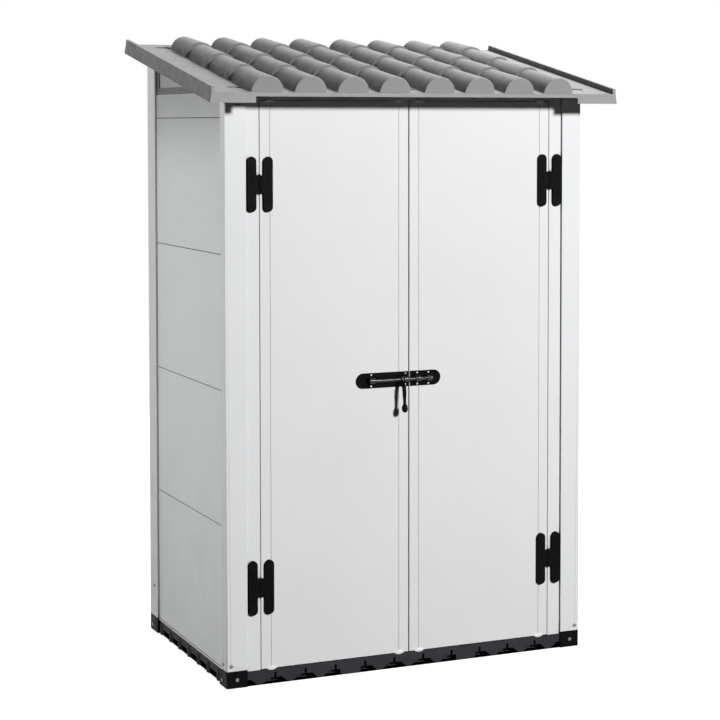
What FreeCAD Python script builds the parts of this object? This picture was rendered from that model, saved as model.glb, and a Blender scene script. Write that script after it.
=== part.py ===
import FreeCAD, Part

import math
import os

from FreeCAD import Vector

# Garden storage cabinet, millimetres, +Z up, front face towards -Y.
# The origin is the middle of the resting surface, under the centre of the roof's plan.

# Cabinet shell, outer faces of the corner posts
width = 1170.0
depth = 746.0

# Roof reach past the posts
roof_front_reach = 92.0
roof_rear_reach = 4.0
roof_side_reach = 70.0

# Heights above the ground
floor_height = 43.5
bracket_height = 50.0
board_bottom = 48.0

# Corner posts: face widths seen from front and side, leg thickness and walls
post_face = 65.0
front_post_side = 40.0
rear_post_side = 78.0
post_leg = 30.0
post_wall = 3.0
post_corner_radius = 4.0
slot_depth = 12.0

# Wall boards: hollow extrusions with a tongue above and a groove below
wall_recess = 7.0
board_thickness = 20.0
board_skin = 2.0
board_web = 2.0
board_cell = 64.0
board_pitch = 397.0
first_board_height = 420.0
top_board_height = 75.0
board_count = 5
board_bevel = 1.6
tongue_width = 6.0
tongue_height = 8.0
fit_clearance = 0.3
base_rail_reach = 2.0
base_rail_width = 24.0

# Gable infill above each side wall
gable_rail_height = 19.0
gable_rail_step = 9.0
gable_step_reach = 2.0
gable_stile_width = 32.0
gable_top_rail = 20.0
gable_panel_thickness = 6.0
gable_panel_recess = 6.0
gable_panel_bite = 5.0

# Door opening and doors
hinge_axis_inset = 108.4
door_gap = 1.5
centre_gap = 3.0
door_recess = 7.0
door_thickness = 20.0
door_bottom = 46.0
door_drop = 27.0
door_bottom_rail = 3.0
door_top_rail = 5.0
door_head_gap = 2.0
hinge_stile_width = 32.0
lock_stile_width = 31.5
door_skin = 2.5
door_cell = 56.0
edge_bevel = 0.8
jamb_edge_radius = 4.0

# Lens-shaped clips over the joints between stile and panel
clip_width = 33.0
clip_height = 12.0
clip_thickness = 3.5
clip_lower_thickness = 2.0

# Hinges: two plates joined by a three-part knuckle
lower_hinge_height = 288.0
upper_hinge_drop = 241.0
leaf_width = 28.0
leaf_length = 160.0
leaf_thickness = 8.0
leaf_offset = 11.5
knuckle_height = 53.0
knuckle_radius = 4.6
knuckle_gap = 0.3
web_gap = 0.5
hinge_axis_stand = 5.0
pin_radius = 2.0
pin_clearance = 0.05
pin_overhang = 3.0
leaf_screw_spread = 55.0

# Sliding bolt on the doors, measured from the seam between them
bolt_height = 876.0
bolt_plate_height = 45.0
bolt_plate_thickness = 3.0
bolt_plate_outer = 173.0
keeper_plate_inner = 4.0
keeper_plate_outer = 104.0
guide_places = (-126.0, -14.0)
keeper_places = (25.0, 62.0)
guide_width = 17.0
guide_wall = 2.95
guide_foot_reach = 13.0
guide_foot_thickness = 2.5
rivet_spread = 16.5
rivet_head_radius = 3.5
rivet_radius = 1.75
rod_radius = 5.0
rod_clearance = 0.05
rod_stand = 11.0
rod_left_end = -135.0
rod_right_end = 72.0
handle_place = -29.0
handle_collar_width = 9.0
handle_collar_wall = 3.5
handle_stem_radius = 6.2
handle_knee_reach = 17.0
handle_knee_drop = 23.0
handle_knob_reach = 21.0
handle_knob_drop = 84.5
handle_knob_radius = 9.3

# Screws
hinge_head_radius = 4.0
hinge_head_height = 1.6
assembly_head_radius = 5.5
assembly_head_height = 2.4
screw_radius = 2.0
screw_fit = 0.05
cross_width = 1.0
cross_depth = 0.8

# Where the posts and brackets are screwed, from the corner inwards and from the bracket's top upwards
post_screw_inset = 14.0
post_screw_rise = 16.0
front_side_screw_inset = 31.0
rear_side_screw_inset = 45.0
rear_side_screw_rise = 98.0
front_bracket_screw_inset = 41.0
rear_bracket_screw_inset = 30.0
bracket_face_screw_height = 24.0
bracket_side_screw_height = 18.0

# Floor modules: square plastic deck tiles in a grid
floor_columns = 3
floor_rows = 2
floor_inset_side = 9.0
floor_inset_front = 6.0
deck_thickness = 5.0
skirt_wall = 4.0
feet_per_module = 4
arch_foot = 14.0
arch_top = 41.0
arch_height = 18.0
arch_seam_half = 16.0
vent_width = 7.5
vent_height = 15.0
round_foot_radius = 14.0
round_foot_reach = 6.0
round_foot_height = 32.0
round_foot_top_round = 5.6
round_foot_base_round = 2.0
inner_ring_inset = 24.0
inner_ring_wall = 3.0
inner_ring_lift = 1.0

# Foot brackets under the corner posts
bracket_face = 64.0
bracket_side_front = 64.0
bracket_side_rear = 76.0

# Head rail over the doors and the rail inside the rear wall
rear_rail_height = 40.0
rear_rail_thickness = 20.0

# Roof: one moulding with side rims, skirts and columns of barrel tiles
roof_edge_rise = -4.0
roof_slope = math.radians(11.17)
roof_plate = 5.0
roof_wall = 4.0
rim_width = 10.0
rim_height = 15.5
skirt_depth = 29.0
skirt_flare = 4.0
notch_depth = 11.5
notch_half_width = 522.0
notch_corner = 3.0
tile_columns_per_side = 4
tile_first = -484.0
tile_pitch = 133.0
tile_middle_pitch = 145.0
tile_front = 9.0
tiles_per_column = 4
tile_rear_margin = 38.0
tile_radius = 50.0
tile_taper = 7.0
tile_lip_run = 2.5
tile_axis_drop = 3.5
tile_wall = 4.0
tile_front_round = 3.0
tile_rear_round = 40.0
pocket_length = 44.0
pocket_width = 26.0
pocket_depth = 3.5
rear_pocket_length = 54.0
rear_pocket_width = 36.0
front_pocket_inset = 24.0
front_pocket_ahead = 14.0
rear_pocket_inset = 35.0
rear_pocket_ahead = 65.0
middle_pocket_ahead = 28.0
roof_screw_length = 8.0

# Derived places
gable_base = board_bottom + first_board_height + (board_count - 2) * board_pitch + top_board_height
roof_edge_height = gable_base + roof_edge_rise
door_top = gable_base - door_drop
hinge_heights = (lower_hinge_height, door_top - upper_hinge_drop)
half_width = width / 2.0
total_depth = roof_front_reach + depth + roof_rear_reach
front_y = roof_front_reach - total_depth / 2.0
rear_y = front_y + depth
roof_half_width = half_width + roof_side_reach
wall_inner = wall_recess + board_thickness
door_face_y = front_y + door_recess
door_back_y = door_face_y + door_thickness
hinge_x = half_width - hinge_axis_inset
hinge_y = door_face_y - hinge_axis_stand
door_outer_x = hinge_x - door_gap / 2.0
jamb_inner_x = hinge_x + door_gap / 2.0
jamb_outer_x = half_width - post_face
panel_outer_x = door_outer_x - hinge_stile_width
panel_inner_x = centre_gap / 2.0 + lock_stile_width
head_rail_bottom = door_top + door_head_gap
plate_front_y = door_face_y - bolt_plate_thickness
rod_y = plate_front_y - rod_stand
guide_bore = rod_radius + rod_clearance
guide_radius = guide_bore + guide_wall
roof_origin_y = front_y - roof_front_reach
roof_rear_edge = rear_y + roof_rear_reach - skirt_depth * math.sin(roof_slope)
roof_length = (roof_rear_edge - roof_origin_y) / math.cos(roof_slope)
tile_rear = roof_length - tile_rear_margin
tile_step = (tile_rear - tile_front) / tiles_per_column
module_width = (width - 2.0 * floor_inset_side) / floor_columns
module_depth = (depth - 2.0 * floor_inset_front) / floor_rows


# Shape helpers

def box(x0, x1, y0, y1, z0, z1):
    """A block between two corners, given in any order."""
    low = Vector(min(x0, x1), min(y0, y1), min(z0, z1))
    return Part.makeBox(abs(x1 - x0), abs(y1 - y0), abs(z1 - z0), low)


def polygon_face(points):
    """A flat face inside a closed run of points."""
    return Part.Face(Part.makePolygon(points + [points[0]]))


def prism_along_x(points_yz, x0, x1):
    """A (y, z) outline swept from x0 to x1."""
    points = [Vector(x0, y, z) for y, z in points_yz]
    return polygon_face(points).extrude(Vector(x1 - x0, 0, 0))


def prism_along_y(points_xz, y0, y1):
    """An (x, z) outline swept from y0 to y1."""
    points = [Vector(x, y0, z) for x, z in points_xz]
    return polygon_face(points).extrude(Vector(0, y1 - y0, 0))


def prism_along_z(points_xy, z0, z1):
    """An (x, y) outline swept from z0 to z1."""
    points = [Vector(x, y, z0) for x, y in points_xy]
    return polygon_face(points).extrude(Vector(0, 0, z1 - z0))


def rod(radius, start, end):
    """A round bar from one point to another."""
    run = end.sub(start)
    return Part.makeCylinder(radius, run.Length, start, run)


def stadium_plate(x_middle, z_middle, plate_width, plate_length, y0, y1):
    """An upright plate with half-round ends, its face towards -Y."""
    radius = plate_width / 2.0
    straight = plate_length / 2.0 - radius
    plate = box(x_middle - radius, x_middle + radius, y0, y1, z_middle - straight, z_middle + straight)
    for z_end in (z_middle - straight, z_middle + straight):
        plate = plate.fuse(rod(radius, Vector(x_middle, y0, z_end), Vector(x_middle, y1, z_end)))
    return plate.removeSplitter()


def round_upright_edges(solid, places, radius):
    """Rounds the vertical edges that stand at the given (x, y) places."""
    chosen = []
    for edge in solid.Edges:
        first = edge.Vertexes[0].Point
        last = edge.Vertexes[-1].Point
        upright = abs(first.x - last.x) < 1e-6 and abs(first.y - last.y) < 1e-6
        for x, y in places:
            if upright and abs(first.x - x) < 1e-6 and abs(first.y - y) < 1e-6:
                chosen.append(edge)
    return solid.makeFillet(radius, chosen)


def save(name, solids):
    """Writes one named piece, or a group of like pieces, as a STEP file."""
    shape = solids[0] if len(solids) == 1 else Part.makeCompound(solids)
    shape.exportStep(os.path.join("parts", name + ".step"))


# Corner coordinates: a runs inwards from the side face, b inwards from the front or rear face

def corner_x(side, a):
    """X of a point a inwards from the left (-1) or right (+1) side face."""
    return side * (half_width - a)


def corner_y(end, b):
    """Y of a point b inwards from the front (-1) or rear (+1) face."""
    return front_y + b if end < 0 else rear_y - b


def corner_box(side, end, a0, a1, b0, b1, z0, z1):
    """A block given in corner coordinates."""
    return box(corner_x(side, a0), corner_x(side, a1), corner_y(end, b0), corner_y(end, b1), z0, z1)


# Roof coordinates: v runs up the slope from the front edge, w stands square to the roof's surface

def place_on_roof(shape):
    """Tilts a shape built flat, with the roof's surface at w = 0, onto the slope."""
    placed = shape.copy()
    placed.rotate(Vector(0, 0, 0), Vector(1, 0, 0), math.degrees(roof_slope))
    placed.translate(Vector(0, roof_origin_y, roof_edge_height))
    return placed


def space_under_roof():
    """Everything that lies below the roof's plate and ahead of its rear skirt."""
    drop = roof_edge_height + depth
    reach = roof_length - roof_wall - fit_clearance
    block = box(-roof_half_width, roof_half_width, -depth, reach, -drop, -roof_plate)
    return place_on_roof(block)


def roof_distance(y):
    """Distance up the slope of the roof's surface at a given y."""
    return (y - roof_origin_y) / math.cos(roof_slope)


# Fasteners

def pan_screw(place, outwards, length, head_radius, head_height):
    """A pan-head screw with a cross recess, its head on the surface at place."""
    head = Part.makeCylinder(head_radius, head_height)
    head = head.makeFillet(head_height / 2.0, [head.Edges[0]])
    shank = Part.makeCylinder(screw_radius, length, Vector(0, 0, -length))
    reach = head_radius * 0.6
    low = head_height - cross_depth
    slot_a = box(-reach, reach, -cross_width / 2.0, cross_width / 2.0, low, head_height)
    slot_b = box(-cross_width / 2.0, cross_width / 2.0, -reach, reach, low, head_height)
    screw = head.fuse(shank).removeSplitter().cut(slot_a.fuse(slot_b))
    turn = FreeCAD.Rotation(Vector(0, 0, 1), outwards)
    screw.Placement = FreeCAD.Placement(place, turn)
    return screw


def assembly_screw(place, outwards, length):
    """A large-headed screw of the posts, the brackets and the roof."""
    return pan_screw(place, outwards, length, assembly_head_radius, assembly_head_height)


def hinge_screw(place, outwards, length):
    """A small-headed screw of the hinges."""
    return pan_screw(place, outwards, length, hinge_head_radius, hinge_head_height)


def screw_hole(place, outwards, length):
    """The clearance hole of a screw, reaching a little past both its ends."""
    margin = 1.0
    start = place + outwards * margin
    return rod(screw_radius + screw_fit, start, place - outwards * (length + margin))


def corner_screw_places(side, end):
    """Where each corner is screwed: (place, outward direction, length) for post and bracket."""
    face_out = Vector(0, end, 0)
    side_out = Vector(side, 0, 0)
    lip = wall_recess - fit_clearance
    side_post_inset = front_side_screw_inset if end < 0 else rear_side_screw_inset
    side_post_rise = post_screw_rise if end < 0 else rear_side_screw_rise
    side_bracket_inset = front_bracket_screw_inset if end < 0 else rear_bracket_screw_inset
    post_face_place = (corner_x(side, post_screw_inset), corner_y(end, 0), bracket_height + post_screw_rise)
    post_face_screw = Vector(*post_face_place)
    post_side_place = (corner_x(side, 0), corner_y(end, side_post_inset), bracket_height + side_post_rise)
    post_side_screw = Vector(*post_side_place)
    bracket_face_place = (corner_x(side, bracket_face / 2.0), corner_y(end, 0), bracket_face_screw_height)
    bracket_face_screw = Vector(*bracket_face_place)
    bracket_side_place = (corner_x(side, 0), corner_y(end, side_bracket_inset), bracket_side_screw_height)
    bracket_side_screw = Vector(*bracket_side_place)
    side_length = lip if end < 0 else post_wall + 6.0
    post_screws = [(post_face_screw, face_out, post_wall + 6.0), (post_side_screw, side_out, side_length)]
    bracket_screws = [
        (bracket_face_screw, face_out, floor_inset_front),
        (bracket_side_screw, side_out, floor_inset_side),
    ]
    return post_screws, bracket_screws


# Floor

def arch_outline(centre, seam_low, seam_high):
    """The trapezoid arch between two feet, cut off upright beside a module's seam."""
    pitch = module_width / feet_per_module
    low = (pitch - arch_foot) / 2.0
    high = arch_top / 2.0
    left_low = arch_seam_half if seam_low else low
    right_low = arch_seam_half if seam_high else low
    left_high = min(high, left_low)
    right_high = min(high, right_low)
    return [
        (centre - left_low, 0.0),
        (centre + right_low, 0.0),
        (centre + right_high, arch_height),
        (centre - left_high, arch_height),
    ]


def module_end_cuts():
    """Arches and vent slots through the front and rear skirts of one module."""
    pitch = module_width / feet_per_module
    cuts = []
    for k in range(feet_per_module):
        centre = (k + 0.5) * pitch
        outline = arch_outline(centre, k == 0, k == feet_per_module - 1)
        vent_top = arch_height + vent_height
        for y0 in (0.0, module_depth - skirt_wall):
            cuts.append(prism_along_y(outline, y0, y0 + skirt_wall))
            vent_low = centre - vent_width / 2.0
            cuts.append(box(vent_low, vent_low + vent_width, y0, y0 + skirt_wall, 0, vent_top))
    return cuts


def module_side_cuts():
    """Gaps between the feet along both side skirts of one module."""
    pitch = module_depth / feet_per_module
    cuts = []
    for k in range(feet_per_module):
        low = k * pitch + round_foot_radius
        high = (k + 1) * pitch - round_foot_radius
        for x0 in (0.0, module_width - skirt_wall):
            cuts.append(box(x0, x0 + skirt_wall, low, high, 0, arch_height))
    return cuts


def module_round_feet(side, row):
    """The round feet proud of an outer side skirt, halved at a seam and left out behind a corner bracket."""
    pitch = module_depth / feet_per_module
    inset = round_foot_radius - round_foot_reach
    x_middle = inset if side < 0 else module_width - inset
    span_x = module_width + round_foot_radius
    module_span = box(-round_foot_radius, span_x, 0, module_depth, 0, round_foot_height)
    lowest = bracket_side_front - floor_inset_front + round_foot_radius
    highest = floor_rows * module_depth + floor_inset_front - bracket_side_rear - round_foot_radius
    feet = []
    for k in range(feet_per_module + 1):
        along_wall = row * module_depth + k * pitch
        if along_wall < lowest or along_wall > highest:
            continue
        start = Vector(x_middle, k * pitch, 0)
        foot = Part.makeCylinder(round_foot_radius, round_foot_height, start)
        foot = foot.makeFillet(round_foot_top_round, [foot.Edges[0]])
        base_edges = [edge for edge in foot.Edges if edge.BoundBox.ZMax < 0.01]
        foot = foot.makeFillet(round_foot_base_round, base_edges)
        feet.append(foot.common(module_span))
    return feet


def floor_module(column, row):
    """One hollow deck module with arched skirts and an inner ring that keeps the arches dark."""
    deck_low = floor_height - deck_thickness
    shell = box(0, module_width, 0, module_depth, 0, floor_height)
    hollow = box(skirt_wall, module_width - skirt_wall, skirt_wall, module_depth - skirt_wall, 0, deck_low)
    module = shell.cut([hollow] + module_end_cuts() + module_side_cuts())
    ring_low = inner_ring_inset
    ring_in = inner_ring_inset + inner_ring_wall
    ring_x = module_width - ring_low
    ring = box(ring_low, ring_x, ring_low, module_depth - ring_low, inner_ring_lift, deck_low)
    core = box(ring_in, module_width - ring_in, ring_in, module_depth - ring_in, 0, deck_low)
    additions = [ring.cut(core)]
    middle = module_depth / 2.0
    rib_x = module_width - ring_in
    additions.append(box(ring_in, rib_x, middle, middle + skirt_wall, inner_ring_lift, deck_low))
    if column == 0:
        additions += module_round_feet(-1, row)
    if column == floor_columns - 1:
        additions += module_round_feet(1, row)
    module = module.fuse(additions).removeSplitter()
    x0 = -half_width + floor_inset_side + column * module_width
    y0 = front_y + floor_inset_front + row * module_depth
    module.translate(Vector(x0, y0, 0))
    return module


def foot_bracket(side, end):
    """A corner shoe: plates outside the floor module and a seat on top for the post."""
    lip = wall_recess - fit_clearance
    post_side = front_post_side if end < 0 else rear_post_side
    run = bracket_side_front if end < 0 else bracket_side_rear
    seat_side = post_side - slot_depth - fit_clearance
    seat_face = bracket_face if end < 0 else post_face - slot_depth - fit_clearance
    lip_run = min(post_side, run)
    plates = [
        corner_box(side, end, 0, bracket_face, 0, floor_inset_front, 0, bracket_height),
        corner_box(side, end, 0, floor_inset_side, 0, run, 0, floor_height),
        corner_box(side, end, 0, lip, 0, lip_run, floor_height, bracket_height),
        corner_box(side, end, 0, seat_face, 0, min(post_leg, seat_side), floor_height, bracket_height),
    ]
    if end > 0:
        plates.append(corner_box(side, end, 0, post_leg, 0, seat_side, floor_height, bracket_height))
    bracket = plates[0].fuse(plates[1:]).removeSplitter()
    corner = (corner_x(side, 0), corner_y(end, 0))
    bracket = round_upright_edges(bracket, [corner], post_corner_radius)
    bracket_screws = corner_screw_places(side, end)[1]
    return bracket.cut([screw_hole(*screw) for screw in bracket_screws])


# Posts, rails and walls

def corner_post(side, end, trim):
    """A hollow corner post with slots for the wall boards, cut to the roof's slope."""
    post_side = front_post_side if end < 0 else rear_post_side
    top = roof_edge_height + depth
    z0 = bracket_height
    body = corner_box(side, end, 0, post_face, 0, post_leg, z0, top)
    body = body.fuse(corner_box(side, end, 0, post_leg, 0, post_side, z0, top)).removeSplitter()
    corner = (corner_x(side, 0), corner_y(end, 0))
    body = round_upright_edges(body, [corner], post_corner_radius)
    slot_low = wall_recess - fit_clearance
    slot_high = wall_inner + fit_clearance
    slot_start = post_side - slot_depth
    cuts = [corner_box(side, end, slot_low, slot_high, slot_start, post_side, z0, top)]
    cavity_depth = min(post_leg, slot_start) - post_wall
    cavity_reach = post_face - post_wall
    if end > 0:
        cavity_reach -= slot_depth
        cuts.append(corner_box(side, end, post_face - slot_depth, post_face, slot_low, slot_high, z0, top))
        inner = post_leg - post_wall
        cuts.append(corner_box(side, end, post_wall, inner, post_leg, slot_start - post_wall, z0, top))
    cuts.append(corner_box(side, end, post_wall, cavity_reach, post_wall, cavity_depth, z0, top))
    post_screws = corner_screw_places(side, end)[0]
    cuts += [screw_hole(*screw) for screw in post_screws]
    return body.cut(cuts).common(trim)


def board_face(z0, z1, has_groove, has_tongue, place):
    """The hollow section of a wall board; place turns (depth from the outer face, z) into a point."""
    middle = board_thickness / 2.0
    half_tongue = tongue_width / 2.0
    half_groove = half_tongue + fit_clearance
    outline = [(0, z0 + board_bevel), (board_bevel, z0)]
    if has_groove:
        groove_top = z0 + tongue_height + fit_clearance
        outline += [(middle - half_groove, z0), (middle - half_groove, groove_top)]
        outline += [(middle + half_groove, groove_top), (middle + half_groove, z0)]
    outline += [(board_thickness, z0), (board_thickness, z1)]
    if has_tongue:
        tongue_top = z1 + tongue_height
        outline += [(middle + half_tongue, z1), (middle + half_tongue, tongue_top)]
        outline += [(middle - half_tongue, tongue_top), (middle - half_tongue, z1)]
    outline += [(board_bevel, z1), (0, z1 - board_bevel)]
    face = polygon_face([place(s, z) for s, z in outline])
    low = z0 + tongue_height + fit_clearance + board_skin
    high = z1 - board_skin
    cells = max(1, round((high - low) / (board_cell + board_web)))
    cell = (high - low + board_web) / cells - board_web
    holes = []
    for k in range(cells):
        start = low + k * (cell + board_web)
        inner = board_thickness - board_skin
        corners = [(board_skin, start), (inner, start), (inner, start + cell), (board_skin, start + cell)]
        holes.append(polygon_face([place(s, z) for s, z in corners]))
    return face.cut(holes)


def board_heights(top):
    """Lower and upper edge of each board in a wall that ends at top."""
    edges = [board_bottom, board_bottom + first_board_height]
    while len(edges) < board_count:
        edges.append(edges[-1] + board_pitch)
    edges.append(top)
    return list(zip(edges[:-1], edges[1:]))


def side_boards(side):
    """The boards of one side wall, their ends held in the posts' slots."""
    y0 = front_y + front_post_side - slot_depth + fit_clearance
    y1 = rear_y - rear_post_side + slot_depth - fit_clearance
    boards = []
    for k, (z0, z1) in enumerate(board_heights(gable_base)):
        def place(s, z):
            return Vector(corner_x(side, wall_recess + s), y0, z)
        face = board_face(z0, z1, k > 0, k < board_count - 1, place)
        boards.append(face.extrude(Vector(0, y1 - y0, 0)).Solids[0])
    return boards


def rear_boards(trim):
    """The boards of the rear wall; the last one is cut to the roof's slope."""
    reach = half_width - post_face + slot_depth - fit_clearance
    top = roof_edge_height + depth * math.tan(roof_slope) + roof_front_reach
    boards = []
    for k, (z0, z1) in enumerate(board_heights(top)):
        def place(s, z):
            return Vector(-reach, rear_y - wall_recess - s, z)
        face = board_face(z0, z1, k > 0, k < board_count - 1, place)
        board = face.extrude(Vector(2.0 * reach, 0, 0))
        boards.append(board.common(trim).Solids[0])
    return boards


def base_rails():
    """Thin light strips that carry the wall boards on the floor."""
    outer = wall_recess - base_rail_reach
    inner = outer + base_rail_width
    y0 = front_y + front_post_side + fit_clearance
    y1 = rear_y - rear_post_side - fit_clearance
    x_reach = half_width - post_face - fit_clearance
    rails = []
    for side in (-1, 1):
        rails.append(box(corner_x(side, outer), corner_x(side, inner), y0, y1, floor_height, board_bottom))
    rails.append(box(-x_reach, x_reach, rear_y - outer, rear_y - inner, floor_height, board_bottom))
    return rails


def gable_opening():
    """The (y, z) triangle that the gable frame leaves open."""
    z_low = gable_base + gable_rail_height
    y_rear = rear_y - rear_post_side + slot_depth - gable_stile_width
    under = roof_plate + gable_top_rail
    slope = math.tan(roof_slope)

    def ceiling(y):
        return roof_edge_height + (y - roof_origin_y) * slope - under / math.cos(roof_slope)

    y_front = roof_origin_y + (z_low + under / math.cos(roof_slope) - roof_edge_height) / slope
    return [(y_front, z_low), (y_rear, z_low), (y_rear, ceiling(y_rear))]


def grown(outline, x, reach):
    """A face of the outline at x, widened by reach on every side."""
    wire = Part.makePolygon([Vector(x, y, z) for y, z in outline + [outline[0]]])
    return Part.Face(wire.makeOffset2D(reach, 2))


def gable_frame(side, trim):
    """The dark frame between the top board and the roof, grooved for its infill."""
    y0 = front_y + front_post_side - slot_depth + fit_clearance
    y1 = rear_y - rear_post_side + slot_depth - fit_clearance
    top = roof_edge_height + depth
    outer = corner_x(side, wall_recess + gable_step_reach)
    inner = corner_x(side, wall_inner)
    frame = box(outer, inner, y0, y1, gable_base, top).common(trim)
    step_face = corner_x(side, wall_recess)
    step = box(step_face, outer, y0, y1, gable_base, gable_base + gable_rail_step).common(trim)
    opening = prism_along_x(gable_opening(), outer, inner)
    panel_outer = wall_recess + gable_panel_recess - fit_clearance
    groove_run = gable_panel_thickness + 2.0 * fit_clearance
    groove = grown(gable_opening(), corner_x(side, panel_outer), gable_panel_bite + fit_clearance)
    groove = groove.extrude(Vector(-side * groove_run, 0, 0))
    return frame.fuse(step).removeSplitter().cut([opening, groove])


def gable_panel(side):
    """The light infill that sits in the gable frame's groove."""
    face = grown(gable_opening(), corner_x(side, wall_recess + gable_panel_recess), gable_panel_bite)
    return face.extrude(Vector(-side * gable_panel_thickness, 0, 0))


def head_rail(trim):
    """The rail over the doors, between the front posts."""
    top = roof_edge_height + depth
    rail = box(-jamb_outer_x, jamb_outer_x, door_face_y, door_back_y, head_rail_bottom, top)
    return rail.common(trim)


def rear_top_rail(trim):
    """The rail inside the rear wall that carries the roof."""
    outer_y = rear_y - wall_inner
    run = roof_distance(outer_y)
    block = box(-jamb_outer_x, jamb_outer_x, run - depth, run + depth, -roof_plate - rear_rail_height, 0)
    inner_y = outer_y - rear_rail_thickness
    band = box(-jamb_outer_x, jamb_outer_x, inner_y, outer_y, gable_base, roof_edge_height + depth)
    return place_on_roof(block).common(band).common(trim)


# Doors

def hollow_member(x0, x1, z0, z1):
    """An upright hollow extrusion in the door plane with bevelled front edges."""
    low, high = min(x0, x1), max(x0, x1)
    outline = [
        (low, door_back_y),
        (high, door_back_y),
        (high, door_face_y + edge_bevel),
        (high - edge_bevel, door_face_y),
        (low + edge_bevel, door_face_y),
        (low, door_face_y + edge_bevel),
    ]
    member = prism_along_z(outline, z0, z1)
    run = high - low - door_skin
    cells = max(1, round(run / (door_cell + door_skin)))
    cell = run / cells - door_skin
    holes = []
    for k in range(cells):
        start = low + door_skin + k * (cell + door_skin)
        holes.append(box(start, start + cell, door_face_y + door_skin, door_back_y - door_skin, z0, z1))
    return member.cut(holes)


def leaf_screw_places(x_middle):
    """The screws of every hinge plate whose middle line stands at x_middle."""
    places = []
    for z_middle in hinge_heights:
        for shift in (-leaf_screw_spread, 0.0, leaf_screw_spread):
            place = Vector(x_middle, door_face_y - leaf_thickness, z_middle + shift)
            places.append((place, Vector(0, -1, 0), leaf_thickness + door_skin + 2.0))
    return places


def frame_leaf_x(side):
    """Middle line of the hinge plates on the jamb."""
    return side * (hinge_x + leaf_offset + leaf_width / 2.0)


def door_leaf_x(side):
    """Middle line of the hinge plates on the door."""
    return side * (hinge_x - leaf_offset - leaf_width / 2.0)


def door_jamb(side):
    """The fixed stile beside a corner post, drilled for the hinge screws."""
    jamb = hollow_member(side * jamb_inner_x, side * jamb_outer_x, floor_height, head_rail_bottom)
    bevel_place = (side * jamb_outer_x, door_face_y + edge_bevel)
    jamb = round_upright_edges(jamb, [bevel_place], edge_bevel)
    return jamb.cut([screw_hole(*screw) for screw in leaf_screw_places(frame_leaf_x(side))])


def door_members(side):
    """Panel, hinge stile and lock stile of one door, between its end rails."""
    z0 = door_bottom + door_bottom_rail
    z1 = door_top - door_top_rail
    hinge_holes = [screw_hole(*screw) for screw in leaf_screw_places(door_leaf_x(side))]
    panel = hollow_member(side * panel_outer_x, side * panel_inner_x, z0, z1)
    hinge_stile = hollow_member(side * door_outer_x, side * panel_outer_x, z0, z1).cut(hinge_holes)
    lock_stile = hollow_member(side * panel_inner_x, side * centre_gap / 2.0, z0, z1)
    return panel, hinge_stile, lock_stile


def door_end_rails(side):
    """The strips that close a door's hollow members at the bottom and the top."""
    rails = []
    for z0, z1 in ((door_bottom, door_bottom + door_bottom_rail), (door_top - door_top_rail, door_top)):
        rails.append(box(side * door_outer_x, side * centre_gap / 2.0, door_face_y, door_back_y, z0, z1))
    return rails


def door_clips(side):
    """Lens-shaped clips over the stile joints, half on the door and half past its end."""
    clips = []
    half = clip_width / 2.0
    rise = clip_height / 2.0
    for x_middle in (side * panel_outer_x, side * panel_inner_x):
        for z_end, outwards in ((door_bottom, -1), (door_top, 1)):
            left = Vector(x_middle - half, door_face_y, z_end)
            right = Vector(x_middle + half, door_face_y, z_end)
            upper = Part.Arc(left, Vector(x_middle, door_face_y, z_end + rise), right).toShape()
            lower = Part.Arc(right, Vector(x_middle, door_face_y, z_end - rise), left).toShape()
            lens = Part.Face(Part.Wire([upper, lower])).extrude(Vector(0, -clip_thickness, 0))
            relief_y = door_face_y - clip_thickness + clip_lower_thickness
            relief = box(
                x_middle - half, x_middle + half, relief_y, door_face_y, z_end, z_end + outwards * rise
            )
            clips.append(lens.cut(relief))
    return clips


# Hinges

def knuckle_levels(z_middle):
    """Lower and upper edge of the three knuckle parts of one hinge."""
    part = (knuckle_height - 2.0 * knuckle_gap) / 3.0
    low = z_middle - knuckle_height / 2.0
    starts = [low + k * (part + knuckle_gap) for k in range(3)]
    return [(start, start + part) for start in starts]


def hinge_leaf(side, x_middle, z_middle, levels):
    """A round-ended plate, a web that stops short of the knuckle, and the plate's share of the knuckle."""
    y0 = door_face_y - leaf_thickness
    axis_x = side * hinge_x
    inwards = 1.0 if axis_x > x_middle else -1.0
    near_edge = x_middle + inwards * leaf_width / 2.0
    low = z_middle - knuckle_height / 2.0
    high = z_middle + knuckle_height / 2.0

    def barrel(radius, z0, z1):
        return rod(radius, Vector(axis_x, hinge_y, z0), Vector(axis_x, hinge_y, z1))

    web_edge = axis_x - inwards * (knuckle_radius + web_gap)
    pieces = [box(near_edge, web_edge, y0, door_face_y, low, high)]
    for z0, z1 in levels:
        pieces.append(box(near_edge, axis_x, y0, hinge_y + knuckle_radius, z0, z1))
        pieces.append(barrel(knuckle_radius, z0, z1))
    plate = stadium_plate(x_middle, z_middle, leaf_width, leaf_length, y0, door_face_y)
    leaf = plate.fuse(pieces).removeSplitter()
    bore = barrel(pin_radius + pin_clearance, z_middle - knuckle_height, z_middle + knuckle_height)
    return leaf.cut([bore] + [screw_hole(*screw) for screw in leaf_screw_places(x_middle)])


def frame_leaves():
    """Outer knuckle parts, on the jambs."""
    leaves = []
    for side in (-1, 1):
        for z_middle in hinge_heights:
            low, _, high = knuckle_levels(z_middle)
            leaves.append(hinge_leaf(side, frame_leaf_x(side), z_middle, [low, high]))
    return leaves


def door_leaves(side):
    """Middle knuckle part, on the doors."""
    leaves = []
    for z_middle in hinge_heights:
        middle = knuckle_levels(z_middle)[1]
        leaves.append(hinge_leaf(side, door_leaf_x(side), z_middle, [middle]))
    return leaves


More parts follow.
